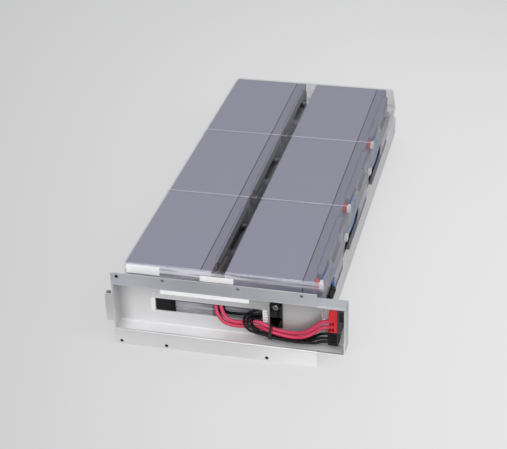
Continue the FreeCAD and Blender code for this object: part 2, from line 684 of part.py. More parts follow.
def fuse_holder():
    """Inline fuse holder that stands out of the front opening, with a waist where its halves screw together."""
    end = FUSE_START + FUSE_LENGTH
    middle = FUSE_START + FUSE_LENGTH * 0.55
    ring = 1.4
    profile = [V(FUSE_X, FUSE_START, FUSE_Z), V(FUSE_X, FUSE_START, FUSE_Z + 2.3),
               V(FUSE_X, FUSE_START + 3.5, FUSE_Z + FUSE_RADIUS), V(FUSE_X, middle - ring, FUSE_Z + FUSE_RADIUS),
               V(FUSE_X, middle - ring, FUSE_Z + FUSE_RADIUS - 0.7),
               V(FUSE_X, middle + ring, FUSE_Z + FUSE_RADIUS - 0.7),
               V(FUSE_X, middle + ring, FUSE_Z + FUSE_RADIUS), V(FUSE_X, end - 3.5, FUSE_Z + FUSE_RADIUS),
               V(FUSE_X, end, FUSE_Z + 2.3), V(FUSE_X, end, FUSE_Z)]
    face = Part.Face(Part.makePolygon(profile + [profile[0]]))
    return face.revolve(V(FUSE_X, 0, FUSE_Z), V(0, 1, 0), 360)


# Output leads, which run through the bracket's cut-out to the plug housings

RED_END_X = HOUSING_LEFT + CAVITY_DEPTH
BLACK_END_X = HOUSING_LEFT - BLACK_STEP + CAVITY_DEPTH
RED_SPACING = 1.95
STRAIGHT_END = 8.0
LEAD_END_Y = -28.0
RED_END_Z = (40.4, 47.0)
BLACK_ENDS = ((-29.6, 28.9), (-26.4, 31.8), (-30.2, 25.4))

RED_LOOPS = (
    ((95.1, 34.9, 66.9), (95.1, 44.2, 56.0), (95.1, 44.2, 43.6)),
    ((95.1, 33.1, 62.75), (95.1, 39.4, 54.2), (95.1, 39.4, 45.0)))
RED_ROUTES = (
    ((94.9, 34.5, 34.5), (94.8, 24.0, 34.4), (94.8, 13.0, 37.4), (94.9, 3.0, 43.4), (95.0, -5.0, 48.2),
     (95.2, -12.0, 48.4), (95.8, -17.0, 43.4), (98.2, -21.2, 37.4), (102.6, -24.2, 32.6),
     (108.8, -26.0, 29.7), (117.0, -26.4, 28.7), (125.9, -25.9, 28.9), (134.0, -25.6, 29.8),
     (141.8, -26.6, 30.6), (148.0, -28.9, 29.6), (153.5, -29.9, 28.7), (160.5, -30.2, 27.2),
     (168.5, -30.5, 26.1), (177.0, -30.7, 25.8), (185.5, -30.7, 27.5), (192.0, -30.2, 31.2),
     (198.0, -29.2, 35.4)),
    ((95.05, 33.1, 38.6), (95.3, 23.0, 38.6), (96.1, 12.5, 41.9), (97.2, 3.0, 47.6), (98.4, -5.0, 52.0),
     (99.4, -12.3, 52.0), (100.6, -17.3, 46.8), (103.2, -21.3, 41.2), (107.0, -24.6, 36.4),
     (112.6, -26.0, 33.4), (120.0, -25.9, 32.8), (127.5, -25.5, 33.8), (135.0, -25.2, 35.2),
     (142.0, -25.4, 35.0), (147.5, -26.4, 33.0), (153.5, -26.6, 30.8), (161.0, -26.4, 28.6),
     (169.5, -26.6, 27.9), (178.0, -27.2, 28.4), (185.5, -28.0, 31.2), (192.0, -28.3, 35.4),
     (197.0, -28.3, 40.2)))

BLACK_ROUTES = (
    ((202.6, 3.5, 47.5), (201.0, -3.5, 46.8), (196.6, -9.6, 45.6), (189.5, -13.8, 44.6),
     (180.0, -15.8, 43.8), (169.0, -16.4, 42.8), (157.5, -16.2, 41.4), (147.0, -15.8, 39.4),
     (138.6, -16.4, 38.4), (132.8, -20.4, 38.8), (130.5, -26.0, 39.2), (130.6, -31.0, 38.0),
     (132.4, -33.0, 35.4), (136.2, -33.2, 32.8), (142.0, -32.4, 30.2), (147.8, -31.7, 27.4),
     (153.5, -31.0, 25.2), (161.0, -31.1, 23.6), (169.5, -31.5, 22.7), (178.5, -32.0, 22.3),
     (188.0, -31.4, 23.6), (197.5, -30.2, 27.0)),
    ((195.6, 434.0, 36.9), (195.6, 418.0, 33.6), (195.6, 400.0, 30.8), (195.6, 380.0, 30.5),
     (195.6, 48.0, 30.5), (196.2, 26.0, 32.6), (196.8, 11.0, 36.6), (196.8, -1.0, 38.6),
     (195.2, -9.0, 39.4), (189.6, -14.5, 40.2), (181.0, -16.6, 40.4), (170.0, -16.8, 39.8),
     (157.5, -16.4, 38.2), (147.0, -16.0, 36.2), (139.0, -16.6, 34.7), (136.6, -20.8, 36.6),
     (134.4, -24.6, 38.9), (133.8, -28.8, 37.4), (135.2, -29.9, 33.8), (138.4, -30.0, 30.8),
     (143.5, -29.2, 26.2), (148.8, -28.0, 26.0), (153.5, -27.5, 25.5), (161.0, -27.8, 23.8),
     (169.5, -28.3, 22.8), (178.5, -28.8, 22.4), (188.0, -28.4, 24.2), (197.0, -27.4, 28.6)),
    ((94.2, 434.0, 36.9), (94.2, 418.0, 33.4), (94.2, 400.0, 30.4), (94.2, 380.0, 30.0),
     (94.2, 34.0, 30.1), (94.6, 12.0, 30.0), (95.4, 2.0, 30.6), (98.0, -6.6, 31.6), (105.0, -11.6, 32.6),
     (116.5, -12.6, 33.2), (131.0, -12.3, 34.0), (147.0, -11.8, 34.3), (158.5, -11.6, 34.3),
     (167.5, -11.5, 34.6), (173.0, -11.5, 39.9), (173.0, -11.5, 47.4), (167.6, -11.6, 52.7),
     (158.0, -12.0, 51.0), (147.0, -12.6, 47.2), (138.4, -14.2, 43.0), (131.6, -18.8, 41.6),
     (127.7, -25.4, 41.2), (127.0, -31.4, 39.6), (129.2, -34.8, 35.9), (133.2, -36.0, 32.2),
     (139.6, -35.8, 29.8), (147.0, -34.9, 28.1), (153.5, -34.0, 26.3), (161.5, -34.2, 24.8),
     (170.5, -34.6, 24.1), (179.5, -35.0, 23.9), (188.5, -34.8, 24.6), (197.6, -33.2, 23.9)))


def red_lead(index):
    """Red lead from the first left-hand positive terminal, down the trough and out through the cut-out."""
    x = wire_x(0)
    z = POSITIVE_Z + (RED_SPACING if index == 0 else -RED_SPACING)
    points = [(x, sleeve_range(0, True)[1], z), (x, 13.8, z), (95.1, 19.6, z), (95.0, 27.0, z + 0.2)]
    points += list(RED_LOOPS[index])
    points += list(RED_ROUTES[index])
    end_z = RED_END_Z[index]
    points += [(RED_END_X - STRAIGHT_END, LEAD_END_Y, end_z), (RED_END_X, LEAD_END_Y, end_z)]
    return tube("red_lead_%d" % (index + 1), points, RED_RADIUS)


def black_lead(index):
    """Black leads: from the fuse holder, from the last right-hand block and from the last left-hand block."""
    y, z = BLACK_ENDS[index]
    if index == 0:
        points = [(FUSE_X, FUSE_START, FUSE_Z)]
    else:
        x = wire_x(1 if index == 1 else 0)
        start = sleeve_range(ROWS - 1, False)[0]
        points = [(x, start, NEGATIVE_Z), (x, start - 3.75, NEGATIVE_Z)]
    points += list(BLACK_ROUTES[index])
    points += [(BLACK_END_X - STRAIGHT_END, y, z), (BLACK_END_X, y, z)]
    return tube("black_lead_%d" % (index + 1), points, BLACK_RADIUS)


# Harness hardware

def clamp_screw_place():
    return CLAMP_LEFT + 6.2, CLAMP_HIGH - 5.2


def cable_clamp():
    """Nylon clamp plate with a screw hole above and a three-cornered window below."""
    right = CLAMP_LEFT + CLAMP_WIDTH
    front = PANEL_FRONT - CLAMP_THICKNESS
    plate = box(CLAMP_LEFT, right, front, PANEL_FRONT, CLAMP_LOW, CLAMP_HIGH)
    top = edges_along(plate, 1, lambda middle: middle.z > CLAMP_HIGH - 0.1)
    plate = plate.makeFillet(3.0, top)
    rib_low = CLAMP_LOW + 12.5
    rib = box(right - 3.0, right - 0.4, front - CLAMP_RIB, front, rib_low, CLAMP_HIGH - 3.2)
    head = box(CLAMP_LEFT + 0.4, right - 4.2, front - CLAMP_RIB, front, rib_low, CLAMP_HIGH - 9.5)
    plate = plate.fuse([rib, head])
    low = CLAMP_LOW + 3.0
    corners = [V(CLAMP_LEFT + 2.6, front - 1, low), V(CLAMP_LEFT + 7.4, front - 1, low),
               V(CLAMP_LEFT + 4.4, front - 1, low + 6.6)]
    window = Part.Face(Part.makePolygon(corners + [corners[0]])).extrude(V(0, 6, 0))
    x, z = clamp_screw_place()
    hole = Part.makeCylinder(CLAMP_SCREW_RADIUS, 8, V(x, front - 3, z), V(0, 1, 0))
    return plate.cut(window).cut(hole).removeSplitter()


def clamp_screw():
    """Pan head screw through the clamp into the panel, with a cross recess."""
    x, z = clamp_screw_place()
    front = PANEL_FRONT - CLAMP_THICKNESS
    head_height = 1.9
    head = Part.makeCylinder(3.0, head_height, V(x, front - head_height, z), V(0, 1, 0))
    rim = [edge for edge in head.Edges if abs(edge.BoundBox.YMax - (front - head_height)) < 1e-6]
    head = head.makeFillet(0.9, rim)
    shank = Part.makeCylinder(CLAMP_SCREW_RADIUS, CLAMP_THICKNESS, V(x, front, z), V(0, 1, 0))
    arm, half = 1.5, 0.35
    recess = [box(x - arm, x + arm, front - head_height - 1, front - 1.1, z - half, z + half),
              box(x - half, x + half, front - head_height - 1, front - 1.1, z - arm, z + arm)]
    return head.fuse(shank).cut(Part.makeCompound(recess))


def flange_nut():
    """Pressed-in threaded insert in the upper left hole of the flange."""
    x, z = UPPER_HOLE_X[0], BRACKET_HEIGHT - UPPER_HOLE_EDGE
    collar = Part.makeCylinder(FLANGE_HOLE_RADIUS, SHEET, V(x, BRACKET_FRONT, z), V(0, 1, 0))
    barrel = Part.makeCylinder(FLANGE_HOLE_RADIUS + 1.2, 3.0, V(x, BRACKET_FRONT + SHEET, z), V(0, 1, 0))
    bore = Part.makeCylinder(FLANGE_HOLE_RADIUS - 0.6, 8.0, V(x, BRACKET_FRONT - 1, z), V(0, 1, 0))
    return collar.fuse(barrel).cut(bore)


def cable_tie():
    """Nylon tie drawn round all five leads, with its square head at the back."""
    x = CLAMP_LEFT + 1.2
    corners = [V(x, y, z) for y, z in TIE_OUTLINE]
    wire = Part.makePolygon(corners + [corners[0]])
    outer = Part.Face(wire).extrude(V(TIE_WIDTH, 0, 0))
    outer = outer.makeFillet(2.2, edges_along(outer, 0, lambda middle: True))
    inside = wire.makeOffset2D(-TIE_THICKNESS, 2)
    inside.translate(V(-1, 0, 0))
    inner = Part.Face(inside).extrude(V(TIE_WIDTH + 2, 0, 0))
    inner = inner.makeFillet(1.3, edges_along(inner, 0, lambda middle: True))
    head = box(x - 0.9, x + TIE_WIDTH + 0.9, -27.6, -23.8, 19.2, 23.4)
    return outer.fuse(head).cut(inner).removeSplitter()


def red_housing():
    """Two-way plug housing whose channels are open towards the leads and the front."""
    back = HOUSING_FRONT + HOUSING_DEPTH
    body = box(HOUSING_LEFT, HOUSING_RIGHT, HOUSING_FRONT, back, RED_HOUSING_LOW, RED_HOUSING_HIGH)
    body = body.makeFillet(0.7, edges_along(body, 2, lambda middle: True))
    for z in RED_END_Z:
        channel = box(HOUSING_LEFT - 1, RED_END_X, HOUSING_FRONT - 1, LEAD_END_Y + CAVITY_HALF,
                      z - CAVITY_HALF, z + CAVITY_HALF)
        front_notch_cut = box(RED_END_X + 0.6, RED_END_X + 2.4, HOUSING_FRONT - 1, HOUSING_FRONT + 4.5,
                              z - 1.9, z + 1.9)
        body = body.cut(channel).cut(front_notch_cut)
    latch_low = RED_END_Z[1] + CAVITY_HALF + 2.0
    corners = [V(HOUSING_LEFT + 2.4, HOUSING_FRONT, latch_low),
               V(HOUSING_LEFT + 2.4, HOUSING_FRONT - 1.4, latch_low),
               V(HOUSING_LEFT + 2.4, HOUSING_FRONT, latch_low + 8.0)]
    latch = Part.Face(Part.makePolygon(corners + [corners[0]])).extrude(V(HOUSING_WIDTH - 4.8, 0, 0))
    notch = box(HOUSING_LEFT - 1, HOUSING_LEFT + 1.2, HOUSING_FRONT - 1, back + 1,
                RED_HOUSING_HIGH - 6.0, RED_HOUSING_HIGH + 1)
    return body.fuse(latch).cut(notch).removeSplitter()


def black_housing():
    """Three-way plug housing below the red one, with round cavities."""
    left = HOUSING_LEFT - BLACK_STEP
    back = HOUSING_FRONT + HOUSING_DEPTH
    body = box(left, HOUSING_RIGHT, HOUSING_FRONT, back, BLACK_HOUSING_LOW, BLACK_HOUSING_HIGH)
    body = body.makeFillet(0.7, edges_along(body, 2, lambda middle: True))
    for y, z in BLACK_ENDS:
        body = body.cut(Part.makeCylinder(BLACK_RADIUS + 0.4, CAVITY_DEPTH + 1, V(left - 1, y, z), V(1, 0, 0)))
    ribs = [box(left + 2.0, HOUSING_RIGHT - 2.0, HOUSING_FRONT - 0.7, HOUSING_FRONT, z - 0.6, z + 0.6)
            for z in (26.5, 30.0, 33.5)]
    return body.fuse(ribs).removeSplitter()


def connector_holder():
    """Black moulding beside the housings, wide above and narrow below, let through the window of the panel."""
    right = BRACKET_RIGHT - SHEET
    left = HOUSING_RIGHT
    front = HOUSING_FRONT - 0.8
    narrow = left + 0.9
    shoulder = V(right, front, 49.0)
    waist = V(narrow, front, 34.5)
    corners = [waist, V(narrow, front, BLACK_HOUSING_LOW), V(left, front, BLACK_HOUSING_LOW),
               V(left, front, RED_HOUSING_HIGH), V(right, front, RED_HOUSING_HIGH), shoulder]
    edges = [Part.LineSegment(a, b).toShape() for a, b in zip(corners, corners[1:])]
    edges.append(Part.Arc(shoulder, V(left + 4.2, front, 41.2), waist).toShape())
    body = Part.Face(Part.Wire(edges)).extrude(V(0, PANEL_FRONT - front, 0))
    recess = box(left + 2.0, right - 1.6, front - 1, front + 3.8, WINDOW_LOW, WINDOW_HIGH)
    tongue = box(WINDOW_LEFT, WINDOW_RIGHT, PANEL_FRONT, PANEL_BACK + 3.0, WINDOW_LOW, WINDOW_HIGH)
    return body.cut(recess).fuse(tongue).removeSplitter()


def holder_clip():
    """Milky nylon tongue beside the housings, riveted to the panel."""
    clip = box(CLIP_LEFT, HOUSING_LEFT, PANEL_FRONT - CLIP_THICKNESS, PANEL_FRONT, CLIP_LOW, CLIP_HIGH)
    lip = box(CLIP_LEFT, CLIP_LEFT + 1.2, PANEL_FRONT - CLIP_THICKNESS - 1.6, PANEL_FRONT - CLIP_THICKNESS,
              CLIP_LOW + 6.0, CLIP_HIGH)
    x, z = rivet_place()
    hole = Part.makeCylinder(RIVET_RADIUS * 0.7, 6, V(x, PANEL_FRONT - 5, z), V(0, 1, 0))
    return clip.fuse(lip).cut(hole).removeSplitter()


def rivet_place():
    return CLIP_LEFT + 2.6, CLIP_LOW + RIVET_RISE


def holder_rivet():
    """Domed rivet through the clip and the panel."""
    x, z = rivet_place()
    front = PANEL_FRONT - CLIP_THICKNESS
    dome = Part.makeSphere(RIVET_RADIUS * 1.1, V(x, front + 0.6, z))
    dome = dome.common(box(x - 4, x + 4, front - 4, front, z - 4, z + 4))
    shank = Part.makeCylinder(RIVET_RADIUS * 0.7, CLIP_THICKNESS, V(x, front, z), V(0, 1, 0))
    return dome.fuse(shank).removeSplitter()


def left_strip_range():
    return CUTOUT_LEFT - EDGE_STRIP_COVER, CUTOUT_LEFT + EDGE_STRIP_WALL


def spacer(x0, x1, high):
    """Foam block bonded between the clamshell and the back of the bracket, relieved over the edge strip."""
    block = box(x0, x1, PANEL_BACK, body_limits(0)[2], SPACER_LOW, high)
    strip_start, strip_end = left_strip_range()
    relief = box(strip_start - SPACER_RELIEF, strip_end + SPACER_RELIEF, PANEL_BACK - 1,
                 PANEL_BACK + EDGE_STRIP_WALL + SPACER_RELIEF, CUTOUT_LOW - SPACER_RELIEF,
                 CUTOUT_HIGH + SPACER_RELIEF)
    return block.cut(relief)


def build_nodes():
    """Every named piece of the cartridge."""
    nodes = {}
    nodes["front_bracket"] = front_bracket()
    nodes["upper_shell"] = upper_shell()
    nodes["lower_shell"] = lower_shell()
    sides = ("left", "right")
    for column in range(COLUMNS):
        for row in range(ROWS):
            place = "%s_%d" % (sides[column], row + 1)
            nodes["battery_jar_" + place] = battery_jar(column, row)
            nodes["battery_lid_" + place] = battery_lid(column, row)
        for row in range(ROWS - 1):
            name = "jumper_%s_%d" % (sides[column], row + 1)
            nodes[name] = jumper(name, column, row)
    for positive, name in ((True, "positive"), (False, "negative")):
        places = [(column, row) for column in range(COLUMNS) for row in range(ROWS)]
        nodes[name + "_terminals"] = Part.makeCompound([terminal(c, r, positive) for c, r in places])
        nodes[name + "_sleeves"] = Part.makeCompound([sleeve(c, r, positive) for c, r in places])
    nodes["jumper_right_front"] = front_jumper()
    nodes["fuse_holder"] = fuse_holder()
    for index in range(len(RED_ROUTES)):
        nodes["red_lead_%d" % (index + 1)] = red_lead(index)
    for index in range(len(BLACK_ROUTES)):
        nodes["black_lead_%d" % (index + 1)] = black_lead(index)
    nodes["red_housing"] = red_housing()
    nodes["black_housing"] = black_housing()
    nodes["connector_holder"] = connector_holder()
    nodes["holder_clip"] = holder_clip()
    nodes["holder_rivet"] = holder_rivet()
    nodes["cable_clamp"] = cable_clamp()
    nodes["clamp_screw"] = clamp_screw()
    nodes["cable_tie"] = cable_tie()
    nodes["flange_nut"] = flange_nut()
    nodes["edge_strip_left"] = edge_strip(*left_strip_range(), False, False)
    nodes["edge_strip_right"] = edge_strip(CUTOUT_RIGHT - EDGE_STRIP_WALL, CUTOUT_RIGHT + EDGE_STRIP_COVER,
                                           True, True)
    nodes["spacer_left"] = spacer(LEFT_SPACER_LEFT, LEFT_SPACER_RIGHT, LEFT_SPACER_HIGH)
    nodes["spacer_right"] = spacer(RIGHT_SPACER_LEFT, RIGHT_SPACER_RIGHT, RIGHT_SPACER_HIGH)
    left, right, low = LEFT_LABEL
    nodes["label_left"] = front_label(left, right, low, SHELL_TOP - SHELL_TOP_RADIUS)
    nodes["label_middle"] = front_label(*MIDDLE_LABEL)
    left, right, height = STRIP_LABEL
    low = CUTOUT_HIGH + HEM_HEIGHT
    nodes["label_strip"] = box(left, right, PANEL_FRONT - LABEL_THICKNESS, PANEL_FRONT, low, low + height)
    return nodes


def main():
    os.makedirs("parts", exist_ok=True)
    for name, shape in build_nodes().items():
        moved = shape.copy()
        moved.translate(V(-ORIGIN.x, -ORIGIN.y, -ORIGIN.z))
        moved.exportStep("parts/%s.step" % name)
        size = moved.BoundBox
        print("%-24s valid %s solids %d volume %.0f  x %.1f %.1f y %.1f %.1f z %.1f %.1f" % (
            name, moved.isValid(), len(moved.Solids), moved.Volume,
            size.XMin, size.XMax, size.YMin, size.YMax, size.ZMin, size.ZMax))


main()
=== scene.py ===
"""Looks of a rack UPS battery cartridge: six grey blocks in a clear clamshell behind a plated bracket."""
import math

import bpy
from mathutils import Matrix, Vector


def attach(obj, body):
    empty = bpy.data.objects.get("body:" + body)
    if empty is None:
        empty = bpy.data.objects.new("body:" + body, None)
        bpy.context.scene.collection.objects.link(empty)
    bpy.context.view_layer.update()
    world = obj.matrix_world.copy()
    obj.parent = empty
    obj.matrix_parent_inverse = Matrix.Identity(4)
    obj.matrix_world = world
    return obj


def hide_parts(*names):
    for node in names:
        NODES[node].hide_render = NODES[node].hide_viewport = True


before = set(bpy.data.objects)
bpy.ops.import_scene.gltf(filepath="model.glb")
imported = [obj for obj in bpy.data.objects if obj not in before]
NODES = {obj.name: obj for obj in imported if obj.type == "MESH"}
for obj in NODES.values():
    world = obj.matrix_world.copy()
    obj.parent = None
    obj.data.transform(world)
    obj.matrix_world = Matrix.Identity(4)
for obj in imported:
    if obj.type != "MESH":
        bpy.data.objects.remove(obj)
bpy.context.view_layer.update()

bl_info = {
    "name": "Battery Cartridge Finish",
    "version": (1, 0, 0),
    "blender": (4, 5, 0),
    "location": "View3D > Sidebar > Cartridge",
    "description": "Dresses the battery cartridge's frame with its finished pieces, materials and stage",
    "category": "Object",
}

MM = 0.001
ROOT = "root"

# Corner of the blocks that the lead routes are measured from, in millimetres in the frame
PACK_CORNER = Vector((-108.55, -210.4, 0.0))

# Just in front of the blocks, along Y
BLOCK_FRONT_Y = -211.5 * MM

# Trough between the columns and seams between jar and lid, along X
TROUGH_X = (-20.3 * MM, -6.9 * MM)
LEFT_SEAM_X = (-32.25 * MM, -31.2 * MM)
RIGHT_SEAM_X = (69.15 * MM, 70.2 * MM)

# Grooves across the top of the clamshell, along Y
ROW_SEAM_Y = (-58.9 * MM, 93.1 * MM)
ROW_SEAM_HALF = 0.6 * MM

# Planes beyond which the outer walls of the clamshell lie
LEFT_WALL_X = -105.0 * MM
RIGHT_WALL_X = 87.5 * MM
FRONT_WALL_Y = -208.5 * MM
BACK_WALL_Y = 243.0 * MM

# Band of the front wall in the bracket's shade, along Z: how it sets in and how it ends
SHADE_FOOT_Z = (50.0 * MM, 54.0 * MM)
SHADE_HEAD_Z = (61.5 * MM, 64.5 * MM)

# Front and back face of the bracket's flanges, and the plane behind which its recess lies
BRACKET_FRONT_Y = -248.2 * MM
FLANGE_BACK_Y = -247.0 * MM
RECESS_Y = -246.0 * MM

# Heights above which the bracket's back panel and its upper flange lie
BACK_PANEL_Z = 18.5 * MM
UPPER_FLANGE_Z = 60.0 * MM

# Channel behind the upper flange: its foot, and the depth over which its shade sets in
CHANNEL_Z = 67.0 * MM
CHANNEL_Y = (-240.0 * MM, -236.0 * MM)

# Round holes of the bracket's upper flange, and the bore of the insert in the first of them
UPPER_HOLE_X = (-104.35 * MM, -58.55 * MM, 15.45 * MM, 76.55 * MM)
UPPER_HOLE_Z = 77.7 * MM
BORE_RADIUS = 1.75 * MM

JARS = sorted(name for name in NODES if name.startswith("battery_jar"))
LIDS = sorted(name for name in NODES if name.startswith("battery_lid"))


class CartridgeSizes(bpy.types.PropertyGroup):
    """Sizes of what the finish adds to the frame."""

    sheet_edge: bpy.props.FloatProperty(
        name="Sheet edge", description="Rounding along the cut edges of the steel sheet",
        default=0.22 * MM, unit="LENGTH", precision=5)
    moulding_edge: bpy.props.FloatProperty(
        name="Moulding edge", description="Rounding along the edges of the small mouldings",
        default=0.3 * MM, unit="LENGTH", precision=5)
    block_edge: bpy.props.FloatProperty(
        name="Block edge", description="Rounding along the sharp edges of the blocks",
        default=0.25 * MM, unit="LENGTH", precision=5)
    red_radius: bpy.props.FloatProperty(
        name="Red lead radius", description="Outer radius of the red output leads",
        default=1.9 * MM, unit="LENGTH", precision=5)
    black_radius: bpy.props.FloatProperty(
        name="Black lead radius", description="Outer radius of the black output leads",
        default=1.45 * MM, unit="LENGTH", precision=5)
    link_radius: bpy.props.FloatProperty(
        name="Link radius", description="Outer radius of the blue links between the blocks",
        default=1.4 * MM, unit="LENGTH", precision=5)


class CartridgeColours(bpy.types.PropertyGroup):
    """Base colours of the finishes."""

    block: bpy.props.FloatVectorProperty(
        name="Block", description="Grey of the sealed blocks", subtype="COLOR", size=3,
        default=(0.26, 0.254, 0.338))
    lid: bpy.props.FloatVectorProperty(
        name="Lid", description="Grey of the lids", subtype="COLOR", size=3,
        default=(0.20, 0.195, 0.262))
    clear_sheet: bpy.props.FloatVectorProperty(
        name="Clear sheet", description="Tint of the clear clamshell where it shines", subtype="COLOR",
        size=3, default=(0.90, 0.90, 0.975))
    # Haze colour of the walls and bends: partly the sheet's own frosting, partly painted reflection and
    # highlight
    haze_and_sheen: bpy.props.FloatVectorProperty(
        name="Drawn sheet", description="Haze of the clamshell where it was drawn out", subtype="COLOR",
        size=3, default=(0.80, 0.79, 0.86))
    zinc: bpy.props.FloatVectorProperty(
        name="Zinc", description="Colour of the plated sheet", subtype="COLOR", size=3,
        default=(0.668, 0.664, 0.668))
    red_lead: bpy.props.FloatVectorProperty(
        name="Red lead", description="Insulation of the red leads", subtype="COLOR", size=3,
        default=(0.60, 0.038, 0.105))
    black_lead: bpy.props.FloatVectorProperty(
        name="Black lead", description="Insulation of the black leads", subtype="COLOR", size=3,
        default=(0.005, 0.005, 0.006))
    blue_link: bpy.props.FloatVectorProperty(
        name="Blue link", description="Insulation of the links between the blocks", subtype="COLOR", size=3,
        default=(0.07, 0.19, 0.50))
    red_plug: bpy.props.FloatVectorProperty(
        name="Red plug", description="Red plug housing", subtype="COLOR", size=3,
        default=(0.62, 0.016, 0.030))
    label: bpy.props.FloatVectorProperty(
        name="Label", description="Bare labels", subtype="COLOR", size=3,
        default=(0.98, 0.98, 0.98))


class CartridgeStage(bpy.types.PropertyGroup):
    """Floor, lamps and camera."""

    floor_grey: bpy.props.FloatVectorProperty(
        name="Floor", description="Colour of the floor", subtype="COLOR", size=3,
        default=(0.68, 0.68, 0.69))
    key_power: bpy.props.FloatProperty(
        name="Key lamp", description="Power of the large soft lamp on the right", default=12.0, unit="POWER")
    front_power: bpy.props.FloatProperty(
        name="Front lamp", description="Power of the soft lamp above the camera", default=22.0, unit="POWER")
    overhead_power: bpy.props.FloatProperty(
        name="Overhead lamp", description="Power of the soft lamp overhead", default=9.0, unit="POWER")
    sky: bpy.props.FloatProperty(
        name="Sky", description="Strength of the even light all round", default=0.44)
    # Near, far and side floor: glows that only the reflections see, as painted reflection
    near_floor: bpy.props.FloatProperty(
        name="Near floor", description="Brightness of the floor just in front, as the plating mirrors it",
        default=0.91)
    far_floor: bpy.props.FloatProperty(
        name="Far floor", description="Brightness of the floor further out, as the plating mirrors it",
        default=0.30)
    side_floor: bpy.props.FloatProperty(
        name="Side floor", description="Brightness of the floor beside and behind, as the walls mirror it",
        default=0.42)
    lens: bpy.props.FloatProperty(
        name="Lens", description="Focal length in millimetres on a 36 mm frame", default=94.19)


def sizes():
    """Sizes as the user has set them."""
    return bpy.context.scene.cartridge_sizes


def colours():
    """Colours as the user has set them."""
    return bpy.context.scene.cartridge_colours


# Shader node groups

def feed(tree, value, socket):
    """Links an output to an input, or writes a number or a colour into it."""
    if isinstance(value, bpy.types.NodeSocket):
        tree.links.new(value, socket)
    else:
        socket.default_value = value


def new_group(name, inputs, outputs):
    """Empty shader group with named float and colour sockets, and its own input and output nodes."""
    tree = bpy.data.node_groups.new(name, "ShaderNodeTree")
    for socket, kind, value in inputs:
        item = tree.interface.new_socket(name=socket, in_out="INPUT", socket_type=kind)
        item.default_value = value
    for socket, kind in outputs:
        tree.interface.new_socket(name=socket, in_out="OUTPUT", socket_type=kind)
    return tree, tree.nodes.new("NodeGroupInput"), tree.nodes.new("NodeGroupOutput")


def place_group(tree, group, values=()):
    """Puts a group into a tree, with its own values, and returns the group's outputs."""
    node = tree.nodes.new("ShaderNodeGroup")
    node.node_tree = group
    for socket, value in values:
        node.inputs[socket].default_value = value
    return node.outputs


def math_node(tree, operation, first, second=0.0, clamp=False):
    """Math node whose two inputs are sockets or numbers."""
    node = tree.nodes.new("ShaderNodeMath")
    node.operation = operation
    node.use_clamp = clamp
    feed(tree, first, node.inputs[0])
    feed(tree, second, node.inputs[1])
    return node.outputs[0]


def product(tree, first, *others):
    """Sockets or numbers, multiplied."""
    for other in others:
        first = math_node(tree, "MULTIPLY", first, other)
    return first


def total(tree, first, *others):
    """Sockets or numbers, added."""
    for other in others:
        first = math_node(tree, "ADD", first, other)
    return first


def greatest(tree, first, *others):
    """The largest of sockets or numbers."""
    for other in others:
        first = math_node(tree, "MAXIMUM", first, other)
    return first


def without(tree, mask):
    """1 where a mask is 0, and 0 where it is 1."""
    return math_node(tree, "SUBTRACT", 1.0, mask)


def centred(tree, noise):
    """Noise moved down so that its middle is 0."""
    return math_node(tree, "SUBTRACT", noise, 0.5)


def above(tree, value, limit):
    """1 where the value is more than the limit, otherwise 0."""
    return math_node(tree, "GREATER_THAN", value, limit)


def below(tree, value, limit):
    """1 where the value is less than the limit, otherwise 0."""
    return math_node(tree, "LESS_THAN", value, limit)


def within(tree, value, low, high):
    """1 where the value lies between two numbers, otherwise 0."""
    return product(tree, above(tree, value, low), below(tree, value, high))


def ramp_between(tree, value, low, high):
    """Smooth rise from 0 to 1 while the value goes from low to high."""
    node = tree.nodes.new("ShaderNodeMapRange")
    node.interpolation_type = "SMOOTHSTEP"
    node.inputs["From Min"].default_value = low
    node.inputs["From Max"].default_value = high
    tree.links.new(value, node.inputs["Value"])
    return node.outputs["Result"]


def blend_values(tree, factor, first, second):
    """Value that goes from the first to the second with the factor."""
    return total(tree, product(tree, without(tree, factor), first), product(tree, factor, second))


def mix_colours(tree, factor, first, second, way="MIX"):
    """Colour that goes from the first towards the second with the factor."""
    node = tree.nodes.new("ShaderNodeMix")
    node.data_type = "RGBA"
    node.blend_type = way
    tree.links.new(factor, node.inputs["Factor"])
    feed(tree, first, node.inputs["A"])
    feed(tree, second, node.inputs["B"])
    return node.outputs["Result"]


def scaled(tree, colour, share):
    """Colour made brighter or darker by a share."""
    node = tree.nodes.new("ShaderNodeVectorMath")
    node.operation = "SCALE"
    feed(tree, colour, node.inputs[0])
    feed(tree, share, node.inputs["Scale"])
    return node.outputs[0]


def noise_node(tree, vector, scale, detail, roughness=0.5):
    """Value of a noise texture; the scale is a socket or a number."""
    node = tree.nodes.new("ShaderNodeTexNoise")
    node.inputs["Detail"].default_value = detail
    node.inputs["Roughness"].default_value = roughness
    tree.links.new(vector, node.inputs["Vector"])
    feed(tree, scale, node.inputs["Scale"])
    return node.outputs["Fac"]


def object_place(tree):
    """Object coordinates of the spot that is shaded."""
    return tree.nodes.new("ShaderNodeTexCoord").outputs["Object"]


def parts_of(tree, vector):
    """X, Y and Z of a vector, as outputs of those names."""
    node = tree.nodes.new("ShaderNodeSeparateXYZ")
    tree.links.new(vector, node.inputs[0])
    return node.outputs


def stretched(tree, vector, scale):
    """Coordinates scaled along each axis, which draws a pattern out along the axes of small scale."""
    node = tree.nodes.new("ShaderNodeMapping")
    node.inputs["Scale"].default_value = scale
    tree.links.new(vector, node.inputs["Vector"])
    return node.outputs[0]


